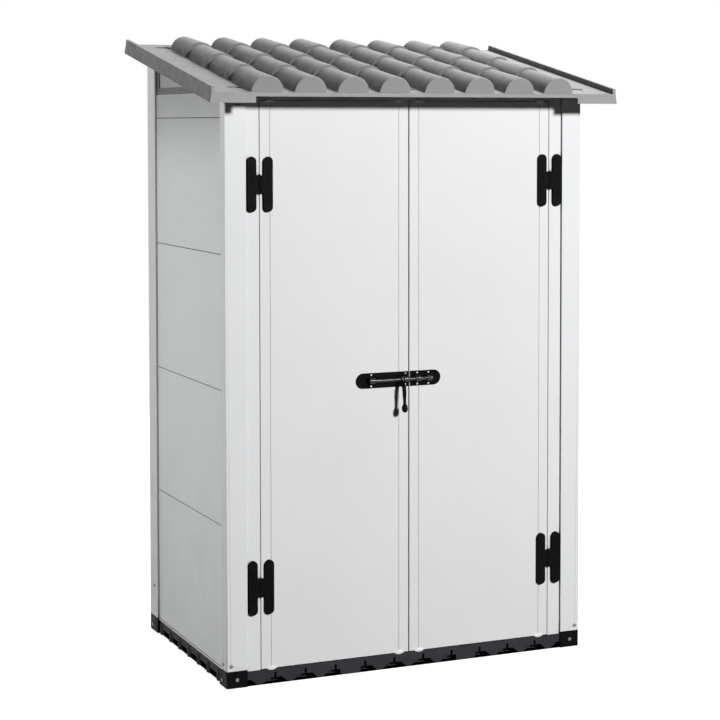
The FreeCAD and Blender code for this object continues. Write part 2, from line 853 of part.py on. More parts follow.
def hinge_pins():
    """One pin through each knuckle, its ends just showing."""
    pins = []
    for side in (-1, 1):
        for z_middle in hinge_heights:
            reach = knuckle_height / 2.0 + pin_overhang
            start = Vector(side * hinge_x, hinge_y, z_middle - reach)
            pins.append(rod(pin_radius, start, Vector(side * hinge_x, hinge_y, z_middle + reach)))
    return pins


# Sliding bolt

def rivet_places(places):
    """The rivets above and below each guide, as points on the guide's feet."""
    y = plate_front_y - guide_foot_thickness
    return [Vector(x, y, bolt_height + shift) for x in places for shift in (-rivet_spread, rivet_spread)]


def rivet_hole(place):
    """The hole of one rivet through foot and plate."""
    return rod(rivet_radius + screw_fit, place - Vector(0, 1, 0), place + Vector(0, door_thickness / 3.0, 0))


def bolt_plate(x_outer, x_inner, places):
    """A back plate with a half-round outer end."""
    radius = bolt_plate_height / 2.0
    side = 1.0 if x_outer > x_inner else -1.0
    x_round = x_outer - side * radius
    plate = box(x_round, x_inner, plate_front_y, door_face_y, bolt_height - radius, bolt_height + radius)
    end = rod(radius, Vector(x_round, plate_front_y, bolt_height), Vector(x_round, door_face_y, bolt_height))
    plate = plate.fuse(end).removeSplitter()
    return plate.cut([rivet_hole(place) for place in rivet_places(places)])


def bolt_guides(places):
    """Pressed straps that arch over the bolt rod."""
    guides = []
    for x_middle in places:
        x0 = x_middle - guide_width / 2.0
        x1 = x_middle + guide_width / 2.0
        crown = rod(guide_radius, Vector(x0, rod_y, bolt_height), Vector(x1, rod_y, bolt_height))
        legs = box(x0, x1, rod_y, plate_front_y, bolt_height - guide_radius, bolt_height + guide_radius)
        foot_reach = guide_radius + guide_foot_reach
        foot_y = plate_front_y - guide_foot_thickness
        feet = box(x0, x1, foot_y, plate_front_y, bolt_height - foot_reach, bolt_height + foot_reach)
        bore = rod(guide_bore, Vector(x0, rod_y, bolt_height), Vector(x1, rod_y, bolt_height))
        throat = box(x0, x1, rod_y, plate_front_y, bolt_height - guide_bore, bolt_height + guide_bore)
        guide = crown.fuse([legs, feet]).removeSplitter().cut(bore.fuse(throat))
        guides.append(guide.cut([rivet_hole(place) for place in rivet_places([x_middle])]))
    return guides


def bolt_rivets(places):
    """Domed rivets that hold the guides."""
    rivets = []
    for place in rivet_places(places):
        dome = Part.makeSphere(rivet_head_radius, place).common(
            Part.makeBox(20, 10, 20, place - Vector(10, 10, 10))
        )
        shank = rod(rivet_radius, place, Vector(place.x, door_face_y, place.z))
        rivets.append(dome.fuse(shank).removeSplitter())
    return rivets


def bolt_rod():
    """The round bolt with bevelled ends."""
    bar = rod(rod_radius, Vector(rod_left_end, rod_y, bolt_height), Vector(rod_right_end, rod_y, bolt_height))
    ends = [edge for edge in bar.Edges if edge.BoundBox.XLength < 1e-6]
    return bar.makeChamfer(rod_radius * 0.2, ends)


def bolt_handle():
    """The pull: a collar on the rod, a stem that leans out and then hangs, and an egg-shaped knob."""
    collar_radius = guide_bore + handle_collar_wall
    x0 = handle_place - handle_collar_width / 2.0
    x1 = handle_place + handle_collar_width / 2.0
    axis = Vector(handle_place, rod_y, bolt_height)
    knee = axis + Vector(0, -handle_knee_reach, -handle_knee_drop)
    knob = axis + Vector(0, -handle_knob_reach, -handle_knob_drop)
    collar = rod(collar_radius, Vector(x0, rod_y, bolt_height), Vector(x1, rod_y, bolt_height))
    lean = rod(handle_stem_radius, axis, knee)
    elbow = Part.makeSphere(handle_stem_radius, knee)

    # The hanging part is turned about the line from the knee through the knob
    run = knob.sub(knee).Length
    stem = handle_stem_radius
    waist = handle_stem_radius * 0.72
    egg = handle_knob_radius
    side_points = [
        Vector(stem, 0, 0),
        Vector(stem * 0.99, 0, -0.25 * run),
        Vector((stem + waist) / 2.0, 0, -0.5 * run),
        Vector(waist, 0, -0.7 * run),
        Vector(egg * 0.8, 0, -run + egg * 0.85),
        Vector(egg, 0, -run),
        Vector(egg * 0.82, 0, -run - egg * 0.8),
    ]
    tip = Vector(0, 0, -run - egg * 1.4)
    curve = Part.BSplineCurve()
    curve.interpolate(side_points + [tip])
    outline = Part.Wire([
        curve.toShape(),
        Part.makeLine(tip, Vector(0, 0, 0)),
        Part.makeLine(Vector(0, 0, 0), side_points[0]),
    ])
    pull = Part.Face(outline).revolve(Vector(0, 0, 0), Vector(0, 0, 1), 360)
    turn = FreeCAD.Rotation(Vector(0, 0, -1), knob.sub(knee))
    pull.Placement = FreeCAD.Placement(knee, turn)
    past_stem = Vector(2.0 * collar_radius, 0, 0)
    passage = rod(guide_bore, axis - past_stem, axis + past_stem)
    return collar.fuse([lean, elbow, pull]).removeSplitter().cut(passage)


# Roof

def tile_places():
    """X of each column of barrel tiles."""
    left = [tile_first + k * tile_pitch for k in range(tile_columns_per_side)]
    right_start = left[-1] + tile_middle_pitch
    right = [right_start + k * tile_pitch for k in range(tile_columns_per_side)]
    return left + right


def tile_barrel(x_middle, shrink):
    """A stepped, tapered barrel lying up the slope; shrink makes the hollow inside it."""
    axis = -tile_axis_drop
    seams = [tile_front + k * tile_step for k in range(1, tiles_per_column)]
    steps = [tile_front + shrink] + seams + [tile_rear - shrink]
    wide = tile_radius - shrink
    narrow = wide - tile_taper
    front_round = tile_front_round
    rear_round = tile_rear_round - shrink

    def at(v, r):
        return Vector(x_middle, v, axis + r)

    bend = math.sqrt(0.5)
    front_arc = Part.Arc(
        at(steps[0], wide - front_round),
        at(steps[0] + front_round * (1 - bend), wide - front_round * (1 - bend)),
        at(steps[0] + front_round, wide),
    )
    edges = [Part.makeLine(at(steps[0], 0), at(steps[0], wide - front_round)), front_arc.toShape()]
    last = at(steps[0] + front_round, wide)
    for seam in steps[1:-1]:
        for point in (at(seam - tile_lip_run, narrow), at(seam, wide)):
            edges.append(Part.makeLine(last, point))
            last = point
    shoulder = at(steps[-1] - rear_round, narrow)
    edges.append(Part.makeLine(last, shoulder))
    rear_arc = Part.Arc(
        shoulder,
        at(steps[-1] - rear_round * (1 - bend), narrow - rear_round * (1 - bend)),
        at(steps[-1], narrow - rear_round),
    )
    edges.append(rear_arc.toShape())
    edges.append(Part.makeLine(at(steps[-1], narrow - rear_round), at(steps[-1], 0)))
    edges.append(Part.makeLine(at(steps[-1], 0), at(steps[0], 0)))
    face = Part.Face(Part.Wire(edges))
    return face.revolve(Vector(x_middle, 0, axis), Vector(0, 1, 0), 360)


def roof_pockets():
    """(x, v, length, width) of each shallow screw pocket in the roof's surface."""
    front_v = roof_distance(front_y - front_pocket_ahead)
    rear_v = roof_distance(rear_y - rear_pocket_ahead)
    middle_v = roof_distance(front_y - middle_pocket_ahead)
    middle_x = (tile_places()[3] + tile_places()[4]) / 2.0
    pockets = [(middle_x, middle_v, pocket_width, pocket_width)]
    for side in (-1, 1):
        pockets.append((corner_x(side, front_pocket_inset), front_v, pocket_length, pocket_width))
        pockets.append((corner_x(side, rear_pocket_inset), rear_v, rear_pocket_length, rear_pocket_width))
    return pockets


def pocket_cut(x, v, length, pocket_span):
    """A half-round-ended recess in the flat roof."""
    radius = pocket_span / 2.0
    straight = length / 2.0 - radius
    low = Vector(0, 0, -pocket_depth)
    cut = rod(radius, Vector(x - straight, v, 0) + low, Vector(x - straight, v, pocket_depth))
    if straight > 0:
        cut = cut.fuse(rod(radius, Vector(x + straight, v, 0) + low, Vector(x + straight, v, pocket_depth)))
        cut = cut.fuse(box(x - straight, x + straight, v - radius, v + radius, -pocket_depth, pocket_depth))
    return cut.removeSplitter()


def roof_screw_places():
    """The roof screws in flat roof coordinates."""
    outwards = Vector(0, 0, 1)
    return [(Vector(x, v, -pocket_depth), outwards, roof_screw_length) for x, v, _, _ in roof_pockets()]


def roof_screws():
    """The screws in the roof's pockets."""
    return [place_on_roof(assembly_screw(*screw)) for screw in roof_screw_places()]


def roof_front_edge(w):
    """Distance up the slope of the roof's upright front face, at a height w over the surface."""
    return w * math.tan(roof_slope)


def roof_block(inset, w_low, w_high):
    """A slab of the roof's outline, drawn in by inset, whose sides flare out below the surface."""
    front_high = roof_front_edge(w_high) + inset
    front_low = roof_front_edge(w_low) + inset
    rear = roof_length - inset
    side_high = roof_half_width - inset - skirt_flare * w_high / skirt_depth
    side_low = roof_half_width - inset - skirt_flare * w_low / skirt_depth
    widest = roof_half_width + skirt_flare
    length_outline = [(front_high, w_high), (rear, w_high), (rear, w_low), (front_low, w_low)]
    width_outline = [(-side_high, w_high), (side_high, w_high), (side_low, w_low), (-side_low, w_low)]
    along = prism_along_x(length_outline, -widest, widest)
    across = prism_along_y(width_outline, front_low, rear)
    return along.common(across)


def roof_rim(side):
    """The raised edge on one side of the roof."""
    top = rim_height
    outline = [(0.0, 0.0), (roof_length, 0.0), (roof_length, top), (roof_front_edge(top), top)]
    return prism_along_x(outline, side * roof_half_width, side * (roof_half_width - rim_width))


def door_notch():
    """The cut in the front skirt that the open doors pass through, with rounded upper corners."""
    start = roof_front_edge(-skirt_depth) - roof_wall
    notch = box(-notch_half_width, notch_half_width, start, roof_wall, -skirt_depth, -notch_depth)
    top_corners = []
    for edge in notch.Edges:
        bounds = edge.BoundBox
        if bounds.XLength < 1e-6 and bounds.ZLength < 1e-6 and abs(bounds.ZMax + notch_depth) < 1e-6:
            top_corners.append(edge)
    return notch.makeFillet(notch_corner, top_corners)


def roof():
    """The roof moulding: plate, rims, skirts with the door notch, and hollow barrel tiles."""
    shell = roof_block(0.0, -skirt_depth, 0.0)
    inside = roof_block(roof_wall, -skirt_depth, -roof_plate)
    shell = shell.cut([inside, door_notch()])
    reach = roof_half_width
    above = box(-reach, reach, 0, roof_length, -roof_plate / 2.0, 2.0 * tile_radius)
    below = box(-reach, reach, 0, roof_length, -roof_plate, 2.0 * tile_radius)
    barrels = [tile_barrel(x, 0.0).common(above) for x in tile_places()]
    hollows = [tile_barrel(x, tile_wall).common(below) for x in tile_places()]
    body = shell.fuse([roof_rim(side) for side in (-1, 1)] + barrels).removeSplitter()
    cuts = hollows + [pocket_cut(*pocket) for pocket in roof_pockets()]
    cuts += [screw_hole(*screw) for screw in roof_screw_places()]
    return place_on_roof(body.cut(cuts))


# All pieces

def build():
    """Makes and saves every piece."""
    os.makedirs("parts", exist_ok=True)
    trim = space_under_roof()
    side_names = {-1: "left", 1: "right"}
    end_names = {-1: "front", 1: "rear"}
    column_names = ["left", "middle", "right"]
    assembly_screws = roof_screws()

    for row in range(floor_rows):
        for column in range(floor_columns):
            row_name = "front" if row == 0 else "rear"
            save("floor_module_%s_%s" % (row_name, column_names[column % 3]), [floor_module(column, row)])

    for end in (-1, 1):
        for side in (-1, 1):
            place_name = "%s_%s" % (end_names[end], side_names[side])
            save("foot_bracket_" + place_name, [foot_bracket(side, end)])
            save("corner_post_" + place_name, [corner_post(side, end, trim)])
            post_screws, bracket_screws = corner_screw_places(side, end)
            assembly_screws += [assembly_screw(*screw) for screw in post_screws + bracket_screws]
    save("assembly_screws", assembly_screws)

    save("wall_base_rails", base_rails())
    for side in (-1, 1):
        for k, board in enumerate(side_boards(side)):
            save("%s_wall_board_%d" % (side_names[side], k + 1), [board])
        save("gable_frame_" + side_names[side], [gable_frame(side, trim)])
    save("gable_panels", [gable_panel(side) for side in (-1, 1)])
    save("rear_wall_boards", rear_boards(trim))
    save("head_rail", [head_rail(trim)])
    save("rear_top_rail", [rear_top_rail(trim)])
    save("roof", [roof()])

    save("hinge_frame_leaves", frame_leaves())
    save("hinge_pins", hinge_pins())
    frame_screws = leaf_screw_places(frame_leaf_x(-1)) + leaf_screw_places(frame_leaf_x(1))
    save("hinge_frame_screws", [hinge_screw(*screw) for screw in frame_screws])
    for side in (-1, 1):
        name = side_names[side]
        panel, hinge_stile, lock_stile = door_members(side)
        save("door_jamb_" + name, [door_jamb(side)])
        save(name + "_door_panel", [panel])
        save(name + "_door_hinge_stile", [hinge_stile])
        save(name + "_door_lock_stile", [lock_stile])
        save(name + "_door_end_rails", door_end_rails(side))
        save(name + "_door_clips", door_clips(side))
        save(name + "_door_hinge_leaves", door_leaves(side))
        door_screws = leaf_screw_places(door_leaf_x(side))
        save(name + "_door_hinge_screws", [hinge_screw(*screw) for screw in door_screws])

    save("bolt_plate", [bolt_plate(-bolt_plate_outer, -centre_gap / 2.0, guide_places)])
    save("bolt_guides", bolt_guides(guide_places))
    save("bolt_rivets", bolt_rivets(guide_places))
    save("keeper_plate", [bolt_plate(keeper_plate_outer, keeper_plate_inner, keeper_places)])
    save("keeper_guides", bolt_guides(keeper_places))
    save("keeper_rivets", bolt_rivets(keeper_places))
    save("bolt_rod", [bolt_rod()])
    save("bolt_handle", [bolt_handle()])


build()
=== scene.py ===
import logging
import math
from dataclasses import dataclass, field
from enum import Enum
from typing import Iterable, Optional, Sequence

import bmesh
import bpy
from mathutils import Matrix, Vector


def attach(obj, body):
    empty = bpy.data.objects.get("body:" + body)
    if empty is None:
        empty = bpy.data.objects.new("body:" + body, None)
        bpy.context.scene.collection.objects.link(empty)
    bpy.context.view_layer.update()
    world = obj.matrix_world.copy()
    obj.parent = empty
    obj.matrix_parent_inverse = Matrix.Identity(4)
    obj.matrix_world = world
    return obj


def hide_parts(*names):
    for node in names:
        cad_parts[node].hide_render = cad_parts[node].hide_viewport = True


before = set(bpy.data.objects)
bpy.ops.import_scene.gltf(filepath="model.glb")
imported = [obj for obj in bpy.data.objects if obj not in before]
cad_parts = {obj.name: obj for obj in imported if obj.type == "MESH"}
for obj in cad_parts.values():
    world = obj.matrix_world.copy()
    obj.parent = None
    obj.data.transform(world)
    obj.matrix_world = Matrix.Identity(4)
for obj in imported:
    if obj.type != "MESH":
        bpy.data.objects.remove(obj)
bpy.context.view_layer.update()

log = logging.getLogger("garden_cabinet")

Colour = tuple[float, float, float]
Place = tuple[float, float, float]
Pair = tuple[float, float]
Socket = bpy.types.NodeSocket
Ring = list[bmesh.types.BMVert]
Station = tuple[Vector, float]

# Every length below is in metres, and every place is in the cabinet's own space.

ENDS = ("front", "rear")
BLACK: Colour = (0.0, 0.0, 0.0)
# Most of a noise pattern's values lie in this range.
USUAL: Pair = (0.3, 0.7)
# The turn of the surface at which a worn edge starts to show, and at which it shows in full.
EDGE_TURNS: Pair = (0.012, 0.16)
# The places of the two colours and of the result among a mix node's sockets.
FIRST_COLOUR, SECOND_COLOUR, MIXED_COLOUR = 6, 7, 2
# A ring with a smaller radius than this closes in one corner.
TIP_RADIUS = 1e-7
# Corners nearer than this are one corner.
SEAM_GAP = 0.00001
# Edges that turn more than this are rounded.
SHARP_TURN = math.radians(38.0)
# The rounding of the hinge leaves' edges.
HINGE_EDGE = 0.0012


class Grain(Enum):
    """The way the fine lines of an extruded surface run, as a stretch of the noise space."""

    UPRIGHT = (1.0, 1.0, 0.012)
    LEVEL = (0.012, 0.012, 1.0)
    EVEN = (1.0, 1.0, 1.0)


class Side(Enum):
    """Left or right of the cabinet, seen from the front."""

    LEFT = -1
    RIGHT = 1

    @property
    def word(self) -> str:
        """The side's name as the nodes carry it."""
        return self.name.lower()


def srgb(level: float, warmth: float = 0.0) -> Colour:
    """Turns a grey level of a picture into a linear colour.

    Args:
        level: the grey level, 0 to 255.
        warmth: levels added to red and taken from blue.

    Returns:
        The colour as red, green and blue.
    """
    def linear(value: float) -> float:
        """One channel from a picture's level to a linear value."""
        share = value / 255.0
        return share / 12.92 if share <= 0.04045 else ((share + 0.055) / 1.055) ** 2.4

    return linear(level + warmth), linear(level), linear(level - warmth)


def toned(colour: Colour, tone: float, lift: float = 0.0) -> Colour:
    """Makes a colour darker or lighter.

    Args:
        colour: the colour to start from.
        tone: the factor on each channel.
        lift: what each channel gains after that.

    Returns:
        The new colour, no brighter than white.
    """
    return tuple(min(1.0, channel * tone + lift) for channel in colour)


# Finishes

class NodeSheet:
    """Adds and joins the shader nodes of one material."""

    def __init__(self, name: str) -> None:
        """Starts a material with one principled shader.

        Args:
            name: the material's name.
        """
        self.material = bpy.data.materials.new(name)
        self.material.use_nodes = True
        self.tree = self.material.node_tree
        self.shader = self.tree.nodes["Principled BSDF"]
        self.place = self.add("ShaderNodeTexCoord").outputs["Object"]

    def add(self, kind: str, **settings: object) -> bpy.types.Node:
        """Adds a node.

        Args:
            kind: the node's type name.
            settings: properties set on the node.

        Returns:
            The new node.
        """
        node = self.tree.nodes.new(kind)
        for name, value in settings.items():
            setattr(node, name, value)
        return node

    def feed(self, target: Socket, value: object) -> None:
        """Joins a socket to the target, or sets the target to a constant.

        Args:
            target: the input that is fed.
            value: a socket, a number or a colour.
        """
        if isinstance(value, bpy.types.NodeSocket):
            self.tree.links.new(value, target)
        elif isinstance(value, tuple) and len(value) == 3 and target.type == "RGBA":
            target.default_value = (*value, 1.0)
        else:
            target.default_value = value

    def noise(
        self, size: float, detail: float = 3.0, grain: Grain = Grain.EVEN, rough: float = 0.5
    ) -> Socket:
        """Makes a noise pattern in the cabinet's own space.

        Args:
            size: the size of the pattern's spots, in metres.
            detail: how many finer layers it has.
            grain: which way the spots are drawn out.
            rough: how strong the finer layers are.

        Returns:
            The pattern's value, about 0 to 1.
        """
        stretch = self.add("ShaderNodeMapping")
        self.feed(stretch.inputs["Vector"], self.place)
        stretch.inputs["Scale"].default_value = grain.value
        pattern = self.add("ShaderNodeTexNoise")
        self.feed(pattern.inputs["Vector"], stretch.outputs["Vector"])
        pattern.inputs["Scale"].default_value = 1.0 / size
        pattern.inputs["Detail"].default_value = detail
        pattern.inputs["Roughness"].default_value = rough
        return pattern.outputs["Fac"]

    def between(
        self, value: Socket, low: float, high: float, start: float = 0.0, end: float = 1.0
    ) -> Socket:
        """Maps a value smoothly.

        Args:
            value: what is mapped.
            low: the value that becomes start.
            high: the value that becomes end.
            start: the result at low.
            end: the result at high.

        Returns:
            The mapped value.
        """
        node = self.add("ShaderNodeMapRange", interpolation_type="SMOOTHSTEP")
        for name, number in (("From Min", low), ("From Max", high), ("To Min", start), ("To Max", end)):
            node.inputs[name].default_value = number
        self.feed(node.inputs["Value"], value)
        return node.outputs["Result"]

    def maths(self, operation: str, first: object, second: object = 0.0) -> Socket:
        """Works out one sum.

        Args:
            operation: the sum's name.
            first: the first value.
            second: the second value, where the sum has one.

        Returns:
            The result.
        """
        node = self.add("ShaderNodeMath", operation=operation)
        self.feed(node.inputs[0], first)
        self.feed(node.inputs[1], second)
        return node.outputs["Value"]

    def product(self, first: object, *others: object) -> Socket:
        """Multiplies values one after the other.

        Args:
            first: the first value.
            others: what it is multiplied by.

        Returns:
            The product.
        """
        for other in others:
            first = self.maths("MULTIPLY", first, other)
        return first

    def mix(self, share: object, first: object, second: object, way: str = "MIX") -> Socket:
        """Mixes two colours.

        Args:
            share: how much of the second there is.
            first: the first colour.
            second: the second colour.
            way: the blend type.

        Returns:
            The mixed colour.
        """
        node = self.add("ShaderNodeMix", data_type="RGBA", blend_type=way)
        self.feed(node.inputs["Factor"], share)
        self.feed(node.inputs[FIRST_COLOUR], first)
        self.feed(node.inputs[SECOND_COLOUR], second)
        return node.outputs[MIXED_COLOUR]

    def darken(self, share: object, colour: object) -> Socket:
        """Takes a colour towards black by a share."""
        return self.mix(share, colour, BLACK)

    def bump(self, height: Socket, depth: float, under: Optional[Socket] = None) -> Socket:
        """Raises the surface by a pattern.

        Args:
            height: the pattern.
            depth: how deep its full range is, in metres.
            under: the normal it is added to.

        Returns:
            The changed normal.
        """
        node = self.add("ShaderNodeBump")
        node.inputs["Strength"].default_value = 1.0
        node.inputs["Distance"].default_value = depth
        self.feed(node.inputs["Height"], height)
        if under is not None:
            self.feed(node.inputs["Normal"], under)
        return node.outputs["Normal"]

    def part(self, vector: Socket, name: str) -> Socket:
        """The X, Y or Z of a vector.

        Args:
            vector: the vector.
            name: X, Y or Z.

        Returns:
            Its value.
        """
        split = self.add("ShaderNodeSeparateXYZ")
        self.feed(split.inputs["Vector"], vector)
        return split.outputs[name]

    def axis(self, name: str) -> Socket:
        """The X, Y or Z of the place in the cabinet's own space."""
        return self.part(self.place, name)

    def facing(self, name: str) -> Socket:
        """The X, Y or Z of the surface's direction in the cabinet's own space."""
        return self.part(self.add("ShaderNodeTexCoord").outputs["Normal"], name)

    def edges(self, reach: float) -> Socket:
        """Finds the sharp edges, where handling wears a surface first.

        Args:
            reach: how far from an edge it is seen, in metres.

        Returns:
            0 on flat places, 1 on edges.
        """
        rounded = self.add("ShaderNodeBevel", samples=4)
        rounded.inputs["Radius"].default_value = reach
        turn = self.add("ShaderNodeVectorMath", operation="DOT_PRODUCT")
        self.feed(turn.inputs[0], rounded.outputs["Normal"])
        self.feed(turn.inputs[1], self.add("ShaderNodeNewGeometry").outputs["Normal"])
        return self.between(self.maths("SUBTRACT", 1.0, turn.outputs["Value"]), *EDGE_TURNS)

    def hollows(self, reach: float, open_level: float = 0.75, deep_level: float = 0.25) -> Socket:
        """Finds the corners and grooves, where dust gathers and where shade is painted.

        Args:
            reach: how wide a corner counts, in metres.
            open_level: the share of open sky at which a place counts as open.
            deep_level: the share of open sky at which a place counts as deep.

        Returns:
            0 on open places, 1 deep in a corner.
        """
        shade = self.add("ShaderNodeAmbientOcclusion", samples=6, only_local=False)
        shade.inputs["Distance"].default_value = reach
        return self.between(shade.outputs["AO"], open_level, deep_level)

    def uneven(self, level: float, size: float, less: float, more: float) -> Socket:
        """Varies a roughness from patch to patch.

        Args:
            level: the roughness.
            size: the size of the patches, in metres.
            less: how far it falls.
            more: how far it rises.

        Returns:
            The varied roughness.
        """
        return self.between(self.noise(size), *USUAL, level - less, level + more)

    def finish(
        self, colour: Socket, gloss: Socket, normal: Socket, gloss_level: object
    ) -> bpy.types.Material:
        """Feeds the principled shader.

        Args:
            colour: the base colour.
            gloss: the roughness.
            normal: the surface's direction.
            gloss_level: how strongly the surface shines.

        Returns:
            The finished material.
        """
        self.feed(self.shader.inputs["Base Color"], colour)
        self.feed(self.shader.inputs["Roughness"], gloss)
        self.feed(self.shader.inputs["Normal"], normal)
        self.feed(self.shader.inputs["Specular IOR Level"], gloss_level)
        return self.material


@dataclass(frozen=True)
class ExtrudedPlastic:
    """Twin-wall plastic with faint draw lines, for walls, posts and doors."""

    name: str
    colour: Colour
    grain: Grain
    roughness: float = 0.5
    gloss_level: float = 0.12
    line_size: float = 0.0016
    line_depth: float = 0.00003
    line_share: float = 0.02
    line_levels: Pair = (0.3, 0.75)
    cloud_size: float = 0.35
    cloud_share: float = 0.024
    cloud_levels: Pair = (0.35, 0.7)
    speck_size: float = 0.012
    speck_share: float = 0.25
    speck_tone: float = 0.86
    speck_levels: Pair = (0.735, 0.78)
    wave_size: float = 0.22
    wave_depth: float = 0.00015
    groove_colour: Optional[Colour] = None
    groove_share: float = 0.85
    groove_levels: Pair = (0.25, 0.45)
    # Painted light and shade on sideways faces: a warm tone on door edges for the light seen in narrow
    # gaps, a darker tone on post sides.
    painted_side_colour: Optional[Colour] = None
    painted_side_levels: Pair = (0.85, 0.95)
    # Painted shade: corners and gaps darken towards near black.
    corner_shade_colour: Colour = (0.02, 0.018, 0.016)
    corner_shade_share: float = 0.0
    corner_shade_reach: float = 0.1
    corner_shade_levels: Pair = (0.6, 0.3)
    # Painted shade: the top of the wall darkens under the eaves.
    eaves_shade: float = 0.0
    eaves_band: Pair = (1.45, 1.78)

    def make(self) -> bpy.types.Material:
        """Builds the material.

        Returns:
            The material.
        """
        sheet = NodeSheet(self.name)
        lines = sheet.noise(self.line_size, detail=4.0, grain=self.grain, rough=0.6)
        colour = self._grooves_and_painted_light(sheet, self._new(sheet, lines))
        gloss = sheet.uneven(self.roughness, size=0.06, less=0.06, more=0.07)
        normal = sheet.bump(sheet.noise(self.wave_size, detail=1.0), self.wave_depth)
        normal = sheet.bump(lines, self.line_depth, normal)
        return sheet.finish(colour, gloss, normal, self.gloss_level)

    def _new(self, sheet: NodeSheet, lines: Socket) -> Socket:
        """Colours the plastic with faint clouds, draw lines and specks.

        Args:
            sheet: the material's node sheet.
            lines: the pattern of the draw lines.

        Returns:
            The colour.
        """
        cloud = sheet.between(sheet.noise(self.cloud_size, detail=4.0), *self.cloud_levels)
        colour = sheet.mix(cloud, self.colour, toned(self.colour, 1.0 - self.cloud_share))
        fine = sheet.between(lines, *self.line_levels, 1.0, 1.0 - self.line_share)
        tint = sheet.add("ShaderNodeCombineColor")
        for channel in ("Red", "Green", "Blue"):
            sheet.feed(tint.inputs[channel], fine)
        colour = sheet.mix(1.0, colour, tint.outputs["Color"], "MULTIPLY")
        specks = sheet.between(sheet.noise(self.speck_size, detail=2.0), *self.speck_levels)
        share = sheet.product(specks, self.speck_share)
        return sheet.mix(share, colour, toned(self.colour, self.speck_tone))

    def _grooves_and_painted_light(self, sheet: NodeSheet, colour: Socket) -> Socket:
        """Adds dark joints, and painted light and shade, to the colour.

        Args:
            sheet: the material's node sheet.
            colour: the colour of the new plastic.

        Returns:
            The colour with grooves, painted side tones, painted shade in corners and painted shade
            under the eaves.
        """
        if self.groove_colour is not None:
            colour = sheet.mix(self._grooves(sheet), colour, self.groove_colour)
        # Painted light and shade on the faces that look sideways.
        if self.painted_side_colour is not None:
            sideways = sheet.maths("ABSOLUTE", sheet.facing("X"))
            colour = sheet.mix(sheet.between(sideways, *self.painted_side_levels), colour, self.painted_side_colour)
        # Painted shade in corners and gaps.
        if self.corner_shade_share > 0.0:
            hollows = sheet.hollows(self.corner_shade_reach, *self.corner_shade_levels)
            colour = sheet.mix(sheet.product(hollows, self.corner_shade_share), colour, self.corner_shade_colour)
        # Painted shade under the eaves.
        if self.eaves_shade > 0.0:
            shade = sheet.between(sheet.axis("Z"), *self.eaves_band, 0.0, self.eaves_shade)
            colour = sheet.darken(shade, colour)
        return colour

    def _grooves(self, sheet: NodeSheet) -> Socket:
        """Finds the bevelled faces between two boards or stiles, where grime stays.

        Args:
            sheet: the material's node sheet.

        Returns:
            0 on square faces, groove_share on bevelled ones.
        """
        total = 0.0
        for first, second in ("XY", "YZ", "XZ"):
            slant = sheet.product(sheet.facing(first), sheet.facing(second))
            total = sheet.maths("ADD", total, sheet.maths("ABSOLUTE", slant))
        return sheet.between(total, *self.groove_levels, 0.0, self.groove_share)


